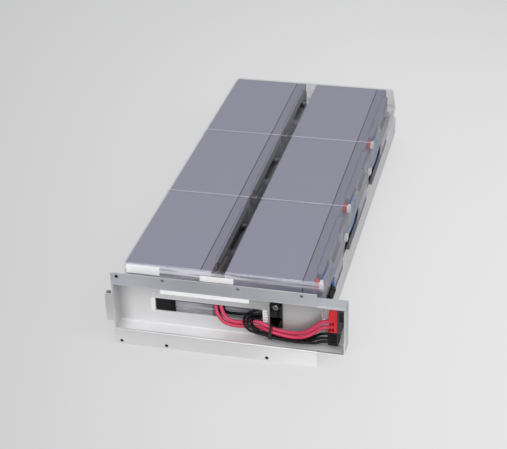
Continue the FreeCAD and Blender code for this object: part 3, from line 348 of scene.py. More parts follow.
def hollow_group():
    """Painted shade: share of the colour left where little light reaches, in the trough between the columns
    and in the seams of the lids.
    """
    name = "hollow_shade"
    if name in bpy.data.node_groups:
        return bpy.data.node_groups[name]
    tree, source, sink = new_group(
        name, [("Trough", "NodeSocketFloat", 0.05), ("Seam", "NodeSocketFloat", 0.12)],
        [("Light", "NodeSocketFloat")])
    spot = parts_of(tree, object_place(tree))
    inside = above(tree, spot["Y"], BLOCK_FRONT_Y)
    trough = product(tree, inside, within(tree, spot["X"], *TROUGH_X))
    seams = product(tree, inside, greatest(
        tree, within(tree, spot["X"], *LEFT_SEAM_X), within(tree, spot["X"], *RIGHT_SEAM_X)))
    trough_painted_shade = blend_values(tree, trough, 1.0, source.outputs["Trough"])
    in_seam = blend_values(tree, seams, 1.0, source.outputs["Seam"])
    tree.links.new(math_node(tree, "MINIMUM", trough_painted_shade, in_seam), sink.inputs["Light"])
    return tree


def grain_and_shade_group():
    """Fine moulded grain with a slow drift of tone over the surface, and the painted shade of the trough and
    the lid seams.
    """
    name = "moulded_grain"
    if name in bpy.data.node_groups:
        return bpy.data.node_groups[name]
    tree, source, sink = new_group(
        name,
        [("Colour", "NodeSocketColor", (0.5, 0.5, 0.5, 1.0)), ("Drift", "NodeSocketFloat", 0.05),
         ("Grain Scale", "NodeSocketFloat", 2500.0), ("Roughness", "NodeSocketFloat", 0.5),
         ("Roughness Spread", "NodeSocketFloat", 0.08)],
        [("Colour", "NodeSocketColor"), ("Roughness", "NodeSocketFloat"), ("Height", "NodeSocketFloat")])
    place = object_place(tree)
    slow = noise_node(tree, place, scale=16.0, detail=3.0)
    middle = noise_node(tree, place, scale=160.0, detail=3.0)
    fine = noise_node(tree, place, scale=source.outputs["Grain Scale"], detail=2.0)
    shift = product(tree, centred(tree, slow), source.outputs["Drift"], 2.0)
    # Painted shade: the colour is darkened in the trough between the columns and in the lid seams
    tone = product(tree, total(tree, shift, 1.0), place_group(tree, hollow_group())["Light"])
    tree.links.new(scaled(tree, source.outputs["Colour"], tone), sink.inputs["Colour"])
    spread = product(tree, centred(tree, middle), source.outputs["Roughness Spread"])
    roughness = math_node(tree, "ADD", source.outputs["Roughness"], spread, clamp=True)
    tree.links.new(roughness, sink.inputs["Roughness"])
    tree.links.new(fine, sink.inputs["Height"])
    return tree


# Painted light and shade on the plated faces, as a share of the plating's own colour: the recess from left to
# right, lighter and then darker, its left end wall, the middle of the upper flange, the lower shelf, and the
# channel where a hole shows it
RECESS_PAINTED_LIGHT = (1.24, 0.80)
RECESS_SPAN_X = (-100.0 * MM, 95.0 * MM)
END_WALL_PAINTED_SHADE = 0.66
END_WALL_X = (-110.0 * MM, -94.0 * MM)
FLANGE_PAINTED_SHADE = 0.82
FLANGE_TONE_FROM_X = (-95.0 * MM, -25.0 * MM)
FLANGE_TONE_TO_X = (5.0 * MM, 85.0 * MM)
SHELF_PAINTED_LIGHT = 0.98
HOLE_PAINTED_SHADE = 0.22

# Painted shade seen through a hole: how it fades round the hole's axis, and how far it leans left for each
# step back
HOLE_FADE = (3.6 * MM, 6.5 * MM)
HOLE_LEAN = 0.3

# Cooler tint of the upper flange, and how much the streaks change the tone and the clouds the roughness
UPPER_FLANGE_TINT = (0.975, 1.0, 1.05, 1.0)
STREAK_TONE = 0.07
ROUGHNESS_SPREAD = 0.22


def hole_shade(tree, spot):
    """Mask of the painted shade: 1 in the channel where a hole of the upper flange shows it, fading to 0
    beside the hole.
    """
    leaned = product(tree, math_node(tree, "SUBTRACT", spot["Y"], FLANGE_BACK_Y), HOLE_LEAN)
    across = total(tree, spot["X"], leaned)
    nearest = 1.0
    for hole in UPPER_HOLE_X:
        gap = math_node(tree, "ABSOLUTE", math_node(tree, "SUBTRACT", across, hole))
        nearest = math_node(tree, "MINIMUM", nearest, gap)
    return product(tree, without(tree, ramp_between(tree, nearest, *HOLE_FADE)),
                   ramp_between(tree, spot["Y"], *CHANNEL_Y), above(tree, spot["Z"], CHANNEL_Z))


def plating_and_light_group():
    """Plated sheet: rolling streaks along X, a cloudy bloom, fine specks and the painted light and shade of
    each face.
    """
    name = "rolled_plating"
    if name in bpy.data.node_groups:
        return bpy.data.node_groups[name]
    tree, source, sink = new_group(
        name,
        [("Colour", "NodeSocketColor", (0.6, 0.6, 0.6, 1.0)), ("Bloom", "NodeSocketFloat", 0.1),
         ("Roughness", "NodeSocketFloat", 0.35)],
        [("Colour", "NodeSocketColor"), ("Roughness", "NodeSocketFloat"), ("Shelf", "NodeSocketFloat"),
         ("Height", "NodeSocketFloat")])
    place = object_place(tree)
    spot = parts_of(tree, place)
    along = stretched(tree, place, (6.0, 260.0, 260.0))
    streaks = noise_node(tree, along, scale=5.0, detail=4.0, roughness=0.6)
    clouds = noise_node(tree, place, scale=38.0, detail=4.0, roughness=0.62)
    specks = noise_node(tree, place, scale=900.0, detail=2.0)
    bloom = product(tree, centred(tree, clouds), source.outputs["Bloom"])
    uneven = total(tree, bloom, product(tree, centred(tree, streaks), STREAK_TONE), 1.0)
    recessed = above(tree, spot["Y"], RECESS_Y)
    on_panel = above(tree, spot["Z"], BACK_PANEL_Z)
    in_flange = above(tree, spot["Z"], UPPER_FLANGE_Z)
    shelf = product(tree, recessed, without(tree, on_panel))
    rightward = product(tree, on_panel, ramp_between(tree, spot["X"], *RECESS_SPAN_X))
    end_wall = without(tree, ramp_between(tree, spot["X"], *END_WALL_X))
    recess_light = product(tree, blend_values(tree, rightward, *RECESS_PAINTED_LIGHT),
                          blend_values(tree, end_wall, 1.0, END_WALL_PAINTED_SHADE))
    middle = product(tree, ramp_between(tree, spot["X"], *FLANGE_TONE_FROM_X),
                     without(tree, ramp_between(tree, spot["X"], *FLANGE_TONE_TO_X)), in_flange)
    flange_shade = blend_values(tree, middle, 1.0, FLANGE_PAINTED_SHADE)
    # Painted light and shade: the recess lighter at the left and darker at the right, its left end wall, the
    # middle of the upper flange, the lower shelf and the channel behind the holes
    tone = product(tree, uneven, blend_values(tree, recessed, flange_shade, recess_light),
                   blend_values(tree, shelf, 1.0, SHELF_PAINTED_LIGHT),
                   blend_values(tree, hole_shade(tree, spot), 1.0, HOLE_PAINTED_SHADE))
    colour = mix_colours(tree, in_flange, source.outputs["Colour"], UPPER_FLANGE_TINT, "MULTIPLY")
    tree.links.new(scaled(tree, colour, tone), sink.inputs["Colour"])
    spread = product(tree, centred(tree, clouds), ROUGHNESS_SPREAD)
    roughness = math_node(tree, "ADD", source.outputs["Roughness"], spread, clamp=True)
    tree.links.new(roughness, sink.inputs["Roughness"])
    tree.links.new(shelf, sink.inputs["Shelf"])
    height = total(tree, product(tree, streaks, 0.6), product(tree, specks, 0.4))
    tree.links.new(height, sink.inputs["Height"])
    return tree


# Rise of a face's normal on the clear sheet, 0 on a wall and 1 on a level face: where a bend begins, and
# where it ends
WALL_END = (0.22, 0.5)
BEND_END = (0.86, 0.98)

# Haze of the drawn walls, partly the sheet's own frosting and partly painted reflection: the side walls, the
# front wall at its right and left end, brighter at the left as painted reflection, and its shaded band
SIDE_WALL_HAZE = 0.66
FRONT_WALL_HAZE_AND_REFLECTION = (0.76, 2.7)
FRONT_WALL_SPAN_X = (-60.0 * MM, 30.0 * MM)
SHADED_HAZE = 0.3

# Draw marks: where one begins in the noise and where it is full, and their strength on the side walls,
# between the marks and on them
MARK_EDGES = (0.40, 0.62)
SIDE_MARKS = (0.40, 0.56)

# Way from the front to the back of the pack
BACKWARD_Y = (-200.0 * MM, 220.0 * MM)


def formed_group():
    """Masks of the formed sheet: bends and grooves, where highlight is painted, outer walls with their haze,
    trough, where shade is painted, and the draw marks round the walls.
    """
    name = "formed_sheet"
    if name in bpy.data.node_groups:
        return bpy.data.node_groups[name]
    tree, source, sink = new_group(
        name, [("Wave Scale", "NodeSocketFloat", 24.0)],
        [("Bends", "NodeSocketFloat"), ("Rows", "NodeSocketFloat"), ("Walls", "NodeSocketFloat"),
         ("Front", "NodeSocketFloat"), ("Hollow", "NodeSocketFloat"), ("Backward", "NodeSocketFloat"),
         ("Streaks", "NodeSocketFloat"), ("Height", "NodeSocketFloat")])
    place = object_place(tree)
    spot = parts_of(tree, place)
    normal = parts_of(tree, tree.nodes.new("ShaderNodeNewGeometry").outputs["True Normal"])
    rise = math_node(tree, "ABSOLUTE", normal["Z"])
    past_wall = ramp_between(tree, rise, *WALL_END)
    past_bend = ramp_between(tree, rise, *BEND_END)
    front = below(tree, spot["Y"], FRONT_WALL_Y)
    outer = greatest(tree, below(tree, spot["X"], LEFT_WALL_X), above(tree, spot["X"], RIGHT_WALL_X), front,
                     above(tree, spot["Y"], BACK_WALL_Y))
    leftward = without(tree, ramp_between(tree, spot["X"], *FRONT_WALL_SPAN_X))
    depth = blend_values(tree, front, SIDE_WALL_HAZE, blend_values(tree, leftward, *FRONT_WALL_HAZE_AND_REFLECTION))
    shade = math_node(tree, "SUBTRACT", ramp_between(tree, spot["Z"], *SHADE_FOOT_Z),
                      ramp_between(tree, spot["Z"], *SHADE_HEAD_Z))
    depth = product(tree, depth, blend_values(tree, product(tree, front, shade), 1.0, SHADED_HAZE))
    round_walls = stretched(tree, place, (13.0, 13.0, 380.0))
    marks = noise_node(tree, round_walls, scale=1.0, detail=3.0, roughness=0.6)
    streaks = ramp_between(tree, marks, *MARK_EDGES)
    faint = blend_values(tree, streaks, *SIDE_MARKS)
    rows = [within(tree, spot["Y"], y - ROW_SEAM_HALF, y + ROW_SEAM_HALF) for y in ROW_SEAM_Y]
    waves = noise_node(tree, place, scale=source.outputs["Wave Scale"], detail=2.0)
    masks = (
        ("Bends", math_node(tree, "SUBTRACT", past_wall, past_bend, clamp=True)),
        ("Rows", greatest(tree, *rows)),
        ("Walls", product(tree, outer, without(tree, past_wall), depth)),
        ("Front", front),
        ("Hollow", within(tree, spot["X"], *TROUGH_X)),
        ("Backward", ramp_between(tree, spot["Y"], *BACKWARD_Y)),
        ("Streaks", blend_values(tree, front, faint, streaks)),
        ("Height", waves))
    for socket, mask in masks:
        tree.links.new(mask, sink.inputs[socket])
    return tree


# Materials

def new_material(name):
    """Material with its own Principled shader."""
    material = bpy.data.materials.new(name)
    material.use_nodes = True
    tree = material.node_tree
    return material, tree, tree.nodes["Principled BSDF"]


def add_bump(tree, principled, height, strength, distance):
    """Fine relief from a height; it changes the light on a face and not its shape."""
    bump = tree.nodes.new("ShaderNodeBump")
    bump.inputs["Strength"].default_value = strength
    bump.inputs["Distance"].default_value = distance
    tree.links.new(height, bump.inputs["Height"])
    tree.links.new(bump.outputs["Normal"], principled.inputs["Normal"])


def moulded(name, colour, roughness, grain_scale=2500.0, bump=0.1, drift=0.05, spread=0.08, metallic=0.0,
            specular=0.5):
    """Plastic, rubber or small plated piece with the shared grain and the painted shade of the trough and the
    lid seams.
    """
    name = "finish_" + name
    if name in bpy.data.materials:
        return bpy.data.materials[name]
    material, tree, principled = new_material(name)
    grain = place_group(tree, grain_and_shade_group(), (
        ("Colour", (*colour, 1.0)), ("Drift", drift), ("Grain Scale", grain_scale), ("Roughness", roughness),
        ("Roughness Spread", spread)))
    tree.links.new(grain["Colour"], principled.inputs["Base Color"])
    tree.links.new(grain["Roughness"], principled.inputs["Roughness"])
    principled.inputs["Metallic"].default_value = metallic
    principled.inputs["Specular IOR Level"].default_value = specular
    add_bump(tree, principled, grain["Height"], bump, 0.1 * MM)
    return material


# Metal share of the plating: on every face but the lower shelf, then on that shelf
PLATING_METAL = 0.6
SHELF_METAL = 0.25


def zinc_sheet():
    """Zinc plating of the folded bracket, with painted light and shade on its faces."""
    name = "finish_zinc_sheet"
    if name in bpy.data.materials:
        return bpy.data.materials[name]
    material, tree, principled = new_material(name)
    plating = place_group(tree, plating_and_light_group(), (
        ("Colour", (*colours().zinc, 1.0)), ("Bloom", 0.16), ("Roughness", 0.42)))
    tree.links.new(plating["Colour"], principled.inputs["Base Color"])
    tree.links.new(plating["Roughness"], principled.inputs["Roughness"])
    metal = blend_values(tree, plating["Shelf"], PLATING_METAL, SHELF_METAL)
    tree.links.new(metal, principled.inputs["Metallic"])
    add_bump(tree, principled, plating["Height"], 0.12, 0.05 * MM)
    return material


# Painted shade in the insert's bore: share of the insert's own colour that is left there
BORE_PAINTED_SHADE = 0.03


def insert_metal():
    """Bright plated insert whose threaded bore is darkened with painted shade."""
    metal = moulded("insert_steel", (0.85, 0.85, 0.86), 0.28, metallic=0.7)
    tree = metal.node_tree
    from_axis = tree.nodes.new("ShaderNodeVectorMath")
    from_axis.operation = "SUBTRACT"
    from_axis.inputs[1].default_value = (UPPER_HOLE_X[0], 0.0, UPPER_HOLE_Z)
    tree.links.new(object_place(tree), from_axis.inputs[0])
    across = tree.nodes.new("ShaderNodeVectorMath")
    across.operation = "MULTIPLY"
    across.inputs[1].default_value = (1.0, 0.0, 1.0)
    tree.links.new(from_axis.outputs[0], across.inputs[0])
    distance = tree.nodes.new("ShaderNodeVectorMath")
    distance.operation = "LENGTH"
    tree.links.new(across.outputs[0], distance.inputs[0])
    rim = above(tree, distance.outputs["Value"], BORE_RADIUS)
    base = tree.nodes["Principled BSDF"].inputs["Base Color"]
    tree.links.new(scaled(tree, base.links[0].from_socket, blend_values(tree, rim, BORE_PAINTED_SHADE, 1.0)), base)
    return metal


# Haze of the clear sheet as cover, from 0 to 1: between and on the draw marks, partly their own and partly
# painted streaky highlight; along plain bends and along the grooves, as painted highlight; the share left in
# the trough, as painted shade; and the least anywhere
MARK_HAZE = (0.26, 0.86)
BEND_HIGHLIGHT = (0.34, 0.80)
TROUGH_SHADED_BEND_SHARE = 0.6
LEAST_HAZE = 0.012

# Share of the sheet's cover that the inner faces lose, and, as painted shade, what is left in the trough from
# front to back
INNER_LOSS = 0.95
TROUGH_SHADED_COVER = (0.48, 1.0)

# Brightness of the haze on all but the front wall, lower than on the front wall as painted light, and the
# refractive index of the sheet
SIDE_HAZE_LIGHT = 0.60
SHEET_INDEX = 1.47


def clear_sheet():
    """Thin clear plastic: mirror-like at a slant, hazy on the drawn walls partly as painted reflection, pale
    along the bends as painted highlight, and dimmed in the trough as painted shade.
    """
    name = "finish_clear_sheet"
    if name in bpy.data.materials:
        return bpy.data.materials[name]
    material, tree, principled = new_material(name)
    formed = place_group(tree, formed_group())
    fresnel = tree.nodes.new("ShaderNodeFresnel")
    fresnel.inputs["IOR"].default_value = SHEET_INDEX
    one_face = fresnel.outputs[0]
    mirror = math_node(tree, "DIVIDE", product(tree, one_face, 2.0), total(tree, one_face, 1.0))
    drawn = product(tree, formed["Walls"], blend_values(tree, formed["Streaks"], *MARK_HAZE))
    bend_highlight = product(tree, formed["Bends"], blend_values(tree, formed["Rows"], *BEND_HIGHLIGHT),
                   blend_values(tree, formed["Hollow"], 1.0, TROUGH_SHADED_BEND_SHARE))
    # The haze is partly the sheet's own frosting and draw marks, and partly painted highlight and reflection
    milky = greatest(tree, drawn, bend_highlight, LEAST_HAZE)
    backfacing = tree.nodes.new("ShaderNodeNewGeometry").outputs["Backfacing"]
    outside = without(tree, product(tree, backfacing, INNER_LOSS))
    # Painted shade: less cover in the trough, least at its front
    trough_painted_shade = blend_values(tree, formed["Backward"], *TROUGH_SHADED_COVER)
    outside = product(tree, outside, blend_values(tree, formed["Hollow"], 1.0, trough_painted_shade))
    cover = math_node(tree, "MULTIPLY", greatest(tree, mirror, milky), outside, clamp=True)
    tree.links.new(cover, principled.inputs["Alpha"])
    share = math_node(tree, "DIVIDE", milky, total(tree, mirror, milky, 0.001))
    shine = math_node(tree, "SUBTRACT", 1.0, share, clamp=True)
    tree.links.new(shine, principled.inputs["Metallic"])
    haze = scaled(tree, colours().haze_and_sheen, blend_values(tree, formed["Front"], SIDE_HAZE_LIGHT, 1.0))
    tint = mix_colours(tree, share, (*colours().clear_sheet, 1.0), haze)
    tree.links.new(tint, principled.inputs["Base Color"])
    principled.inputs["Roughness"].default_value = 0.07
    add_bump(tree, principled, formed["Height"], 0.12, 0.5 * MM)
    return material


# Pieces

def only(thing):
    """Selects one object and nothing else."""
    bpy.ops.object.select_all(action="DESELECT")
    thing.select_set(True)
    bpy.context.view_layer.objects.active = thing


def take(piece, name, material, slot, *nodes):
    """Names a finished piece, gives it its material and sets it on the frame."""
    piece.name = name
    piece.data.name = name
    piece.data.materials.clear()
    piece.data.materials.append(material)
    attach(piece, ROOT)
    if nodes:
        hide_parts(*nodes)
    return piece


def finished_copy(node, name, material, slot, edge, smooth=35.0):
    """Copy of a solid with merged corners, softened edges and smooth bends."""
    only(NODES[node])
    bpy.ops.object.duplicate()
    piece = bpy.context.view_layer.objects.active
    for key in [key for key in piece.keys() if key.startswith("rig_")]:
        del piece[key]
    piece.parent = None
    bpy.ops.object.mode_set(mode="EDIT")
    bpy.ops.mesh.select_all(action="SELECT")
    bpy.ops.mesh.remove_doubles(threshold=0.005 * MM)
    bpy.ops.mesh.dissolve_limited(angle_limit=math.radians(0.5))
    bpy.ops.object.mode_set(mode="OBJECT")
    if edge > 0:
        bevel = piece.modifiers.new("softened_edges", "BEVEL")
        bevel.width = edge
        bevel.segments = 2
        bevel.limit_method = "ANGLE"
        bevel.angle_limit = math.radians(40.0)
        bpy.ops.object.modifier_apply(modifier=bevel.name)
    bpy.ops.object.shade_smooth_by_angle(angle=math.radians(smooth))
    weighted = piece.modifiers.new("flat_faces_stay_flat", "WEIGHTED_NORMAL")
    weighted.keep_sharp = True
    bpy.ops.object.modifier_apply(modifier=weighted.name)
    return take(piece, name, material, slot, node)


def in_metres(points):
    """Lead route in the frame, in metres, from points in millimetres from the corner of the blocks."""
    return [(Vector(point) + PACK_CORNER) * MM for point in points]


def lead(name, node, points, radius, material, slot):
    """Round lead along one smooth curve through its route."""
    curve = bpy.data.curves.new(name, "CURVE")
    curve.dimensions = "3D"
    curve.bevel_depth = radius
    curve.bevel_resolution = 5
    curve.resolution_u = 10
    curve.use_fill_caps = True
    spline = curve.splines.new("NURBS")
    route = in_metres(points)
    spline.points.add(len(route) - 1)
    for control, place in zip(spline.points, route):
        control.co = (*place, 1.0)
    spline.order_u = 3
    spline.use_endpoint_u = True
    piece = bpy.data.objects.new(name, curve)
    bpy.context.scene.collection.objects.link(piece)
    return take(piece, name, material, slot, node)


class CARTRIDGE_OT_blocks(bpy.types.Operator):
    """Finish the six sealed blocks and their lids"""

    bl_idname = "cartridge.blocks"
    bl_label = "Battery Blocks"

    def execute(self, context):
        jar = moulded("jar_grey", colours().block, 0.52, grain_scale=1800.0, bump=0.16, drift=0.03)
        lid = moulded("lid_grey", colours().lid, 0.5, grain_scale=1800.0, bump=0.16, drift=0.03)
        for nodes, grey in ((JARS, jar), (LIDS, lid)):
            for node in nodes:
                finished_copy(node, node.replace("battery", "block"), grey, "battery_case",
                              sizes().block_edge)
        return {"FINISHED"}


class CARTRIDGE_OT_terminals(bpy.types.Operator):
    """Finish the terminal bases and the sleeves of the push-on connectors"""

    bl_idname = "cartridge.terminals"
    bl_label = "Terminals"

    def execute(self, context):
        red = moulded("terminal_red", (0.50, 0.03, 0.04), 0.35)
        black = moulded("terminal_black", (0.02, 0.02, 0.022), 0.35)
        white = moulded("sleeve_nylon", (0.78, 0.78, 0.76), 0.32)
        edge = sizes().moulding_edge
        finished_copy("positive_terminals", "terminal_bases_red", red, "terminal_red", edge)
        finished_copy("negative_terminals", "terminal_bases_black", black, "terminal_black", edge)
        finished_copy("positive_sleeves", "sleeves_at_red", white, "sleeve_white", edge)
        finished_copy("negative_sleeves", "sleeves_at_black", white, "sleeve_white", edge)
        return {"FINISHED"}


class CARTRIDGE_OT_clamshell(bpy.types.Operator):
    """Finish both halves of the clear clamshell"""

    bl_idname = "cartridge.clamshell"
    bl_label = "Clamshell"

    def execute(self, context):
        clear = clear_sheet()
        finished_copy("upper_shell", "clamshell_top", clear, "clear_sheet", 0.0)
        finished_copy("lower_shell", "clamshell_tray", clear, "clear_sheet", 0.0)
        return {"FINISHED"}


class CARTRIDGE_OT_bracket(bpy.types.Operator):
    """Finish the folded front bracket, its insert and the strips on its cut-out"""

    bl_idname = "cartridge.bracket"
    bl_label = "Front Bracket"

    def execute(self, context):
        finished_copy("front_bracket", "folded_bracket", zinc_sheet(), "zinc_steel", sizes().sheet_edge)
        steel = insert_metal()
        finished_copy("flange_nut", "flange_insert", steel, "insert_steel", 0.1 * MM)
        white = moulded("strip_nylon", (0.82, 0.82, 0.81), 0.4)
        for side in ("left", "right"):
            finished_copy("edge_strip_" + side, "cutout_strip_" + side, white, "edge_white", 0.15 * MM)
        return {"FINISHED"}


# Places that the leads share, in millimetres from the corner of the blocks
LINK_START_ROWS = (0, 1)
ROW_PITCH = 152.0
COLUMN_PITCH = 101.4
NEGATIVE_Z = 37.5
POSITIVE_Z = 64.7
SLEEVE_X = 93.5
SIDE_X = 94.2
SLEEVE_END = 10.25
LAST_SLEEVE = 444.75
RED_SPACING = 1.95
RED_ENDS = ((-28.0, 40.4), (-28.0, 47.0))
RED_END_X = (204.5, 212.5)
BLACK_ENDS = ((-29.6, 28.9), (-26.4, 31.8), (-30.2, 25.4))
BLACK_END_X = (203.7, 211.7)
FUSE = (202.6, 47.5)

# Points of the leads, as read from the photo, in millimetres from the same corner
FRONT_LINK = (
    (195.6, 20.5, 64.7), (195.7, 29.0, 63.5), (195.9, 38.0, 61.2), (196.1, 46.5, 60.2), (196.3, 52.9, 59.9),
    (196.5, 57.4, 55.9), (196.7, 57.4, 49.5), (197.0, 52.6, 45.0), (197.2, 46.4, 45.2), (200.2, 40.6, 46.3))

RED_LOOPS = (
    ((95.1, 34.9, 66.9), (95.1, 44.2, 56.0), (95.1, 44.2, 43.6)),
    ((95.1, 33.1, 62.75), (95.1, 39.4, 54.2), (95.1, 39.4, 45.0)))

RED_ROUTES = (
    ((94.9, 34.5, 34.5), (94.8, 24.0, 34.4), (94.8, 13.0, 37.4), (94.9, 3.0, 43.4), (95.0, -5.0, 48.2),
     (95.2, -12.0, 48.4), (95.8, -17.0, 43.4), (98.2, -21.2, 37.4), (102.6, -24.2, 32.6),
     (108.8, -26.0, 29.7), (117.0, -26.4, 28.7), (125.9, -25.9, 28.9), (134.0, -25.6, 29.8),
     (141.8, -26.6, 30.6), (148.0, -28.9, 29.6), (153.5, -29.9, 28.7), (160.5, -30.2, 27.2),
     (168.5, -30.5, 26.1), (177.0, -30.7, 25.8), (185.5, -30.7, 27.5), (192.0, -30.2, 31.2),
     (198.0, -29.2, 35.4)),
    ((95.05, 33.1, 38.6), (95.3, 23.0, 38.6), (96.1, 12.5, 41.9), (97.2, 3.0, 47.6), (98.4, -5.0, 52.0),
     (99.4, -12.3, 52.0), (100.6, -17.3, 46.8), (103.2, -21.3, 41.2), (107.0, -24.6, 36.4),
     (112.6, -26.0, 33.4), (120.0, -25.9, 32.8), (127.5, -25.5, 33.8), (135.0, -25.2, 35.2),
     (142.0, -25.4, 35.0), (147.5, -26.4, 33.0), (153.5, -26.6, 30.8), (161.0, -26.4, 28.6),
     (169.5, -26.6, 27.9), (178.0, -27.2, 28.4), (185.5, -28.0, 31.2), (192.0, -28.3, 35.4),
     (197.0, -28.3, 40.2)))

BLACK_ROUTES = (
    ((202.6, 3.5, 47.5), (201.0, -3.5, 46.8), (196.6, -9.6, 45.6), (189.5, -13.8, 44.6),
     (180.0, -15.8, 43.8), (169.0, -16.4, 42.8), (157.5, -16.2, 41.4), (147.0, -15.8, 39.4),
     (138.6, -16.4, 38.4), (132.8, -20.4, 38.8), (130.5, -26.0, 39.2), (130.6, -31.0, 38.0),
     (132.4, -33.0, 35.4), (136.2, -33.2, 32.8), (142.0, -32.4, 30.2), (147.8, -31.7, 27.4),
     (153.5, -31.0, 25.2), (161.0, -31.1, 23.6), (169.5, -31.5, 22.7), (178.5, -32.0, 22.3),
     (188.0, -31.4, 23.6), (197.5, -30.2, 27.0)),
    ((195.6, 434.0, 36.9), (195.6, 418.0, 33.6), (195.6, 400.0, 30.8), (195.6, 380.0, 30.5),
     (195.6, 48.0, 30.5), (196.2, 26.0, 32.6), (196.8, 11.0, 36.6), (196.8, -1.0, 38.6),
     (195.2, -9.0, 39.4), (189.6, -14.5, 40.2), (181.0, -16.6, 40.4), (170.0, -16.8, 39.8),
     (157.5, -16.4, 38.2), (147.0, -16.0, 36.2), (139.0, -16.6, 34.7), (136.6, -20.8, 36.6),
     (134.4, -24.6, 38.9), (133.8, -28.8, 37.4), (135.2, -29.9, 33.8), (138.4, -30.0, 30.8),
     (143.5, -29.2, 26.2), (148.8, -28.0, 26.0), (153.5, -27.5, 25.5), (161.0, -27.8, 23.8),
     (169.5, -28.3, 22.8), (178.5, -28.8, 22.4), (188.0, -28.4, 24.2), (197.0, -27.4, 28.6)),
    ((94.2, 434.0, 36.9), (94.2, 418.0, 33.4), (94.2, 400.0, 30.4), (94.2, 380.0, 30.0),
     (94.2, 34.0, 30.1), (94.6, 12.0, 30.0), (95.4, 2.0, 30.6), (98.0, -6.6, 31.6), (105.0, -11.6, 32.6),
     (116.5, -12.6, 33.2), (131.0, -12.3, 34.0), (147.0, -11.8, 34.3), (158.5, -11.6, 34.3),
     (167.5, -11.5, 34.6), (173.0, -11.5, 39.9), (173.0, -11.5, 47.4), (167.6, -11.6, 52.7),
     (158.0, -12.0, 51.0), (147.0, -12.6, 47.2), (138.4, -14.2, 43.0), (131.6, -18.8, 41.6),
     (127.7, -25.4, 41.2), (127.0, -31.4, 39.6), (129.2, -34.8, 35.9), (133.2, -36.0, 32.2),
     (139.6, -35.8, 29.8), (147.0, -34.9, 28.1), (153.5, -34.0, 26.3), (161.5, -34.2, 24.8),
     (170.5, -34.6, 24.1), (179.5, -35.0, 23.9), (188.5, -34.8, 24.6), (197.6, -33.2, 23.9)))


def link_route(column, row):
    """Route of a blue link from one block's black terminal to the next block's red one."""
    x = column * COLUMN_PITCH + SLEEVE_X
    side = column * COLUMN_PITCH + SIDE_X
    y = (row + 1) * ROW_PITCH
    low, high = NEGATIVE_Z, POSITIVE_Z
    loop = ((12.0, low - 0.7), (24.0, low - 1.4), (36.0, low + 0.6), (46.0, low + 7.5), (46.5, low + 17.0),
            (39.0, high - 3.0), (29.0, high), (20.5, high - 0.1))
    return ([(x, y - 3.75, low), (x, y + 1.5, low)] + [(side, y + step, z) for step, z in loop]
            + [(x, y + 15.2, high), (x, y + SLEEVE_END, high)])


def front_route():
    """Route of the blue link from the first right-hand red terminal to the fuse holder."""
    x = COLUMN_PITCH + SLEEVE_X
    return ([(x, SLEEVE_END, POSITIVE_Z), (x, SLEEVE_END + 5.0, POSITIVE_Z)] + list(FRONT_LINK)
            + [(FUSE[0], 35.0, FUSE[1]), (FUSE[0], 30.0, FUSE[1])])


def red_route(index):
    """Route of a red lead from the first left-hand block to the red plug."""
    z = POSITIVE_Z + (RED_SPACING if index == 0 else -RED_SPACING)
    end_y, end_z = RED_ENDS[index]
    return ([(SLEEVE_X, SLEEVE_END, z), (SLEEVE_X, 13.8, z), (95.1, 19.6, z), (95.0, 27.0, z + 0.2)]
            + list(RED_LOOPS[index]) + list(RED_ROUTES[index]) + [(x, end_y, end_z) for x in RED_END_X])


def black_route(index):
    """Route of a black lead: from the fuse holder, or from the last block of a column, to the black plug."""
    end_y, end_z = BLACK_ENDS[index]
    start = [(FUSE[0], 10.0, FUSE[1])]
    if index > 0:
        x = SLEEVE_X + (COLUMN_PITCH if index == 1 else 0.0)
        start = [(x, LAST_SLEEVE, NEGATIVE_Z), (x, LAST_SLEEVE - 3.75, NEGATIVE_Z)]
    return start + list(BLACK_ROUTES[index]) + [(x, end_y, end_z) for x in BLACK_END_X]


class CARTRIDGE_OT_leads(bpy.types.Operator):
    """Lay the blue links, the red and black leads and the fuse holder"""

    bl_idname = "cartridge.leads"
    bl_label = "Leads"

    def execute(self, context):
        blue = moulded("wire_blue", colours().blue_link, 0.3, grain_scale=900.0, bump=0.05)
        red = moulded("wire_red", colours().red_lead, 0.3, grain_scale=900.0, bump=0.05)
        black = moulded("wire_black", colours().black_lead, 0.16, grain_scale=900.0, bump=0.04, specular=0.18)
        for column, side in enumerate(("left", "right")):
            for row in LINK_START_ROWS:
                name = "%s_%d" % (side, row + 1)
                lead("blue_link_" + name, "jumper_" + name, link_route(column, row), sizes().link_radius,
                     blue, "lead_blue")
        lead("blue_link_fuse", "jumper_right_front", front_route(), sizes().link_radius, blue, "lead_blue")
        for index in range(len(RED_ROUTES)):
            name = "red_lead_%d" % (index + 1)
            lead("output_" + name, name, red_route(index), sizes().red_radius, red, "lead_red")
        for index in range(len(BLACK_ROUTES)):
            name = "black_lead_%d" % (index + 1)
            lead("output_" + name, name, black_route(index), sizes().black_radius, black, "lead_black")
        fuse = moulded("fuse_black", (0.012, 0.012, 0.013), 0.26, specular=0.3)
        finished_copy("fuse_holder", "inline_fuse", fuse, "fuse_black", 0.0, smooth=50.0)
        return {"FINISHED"}


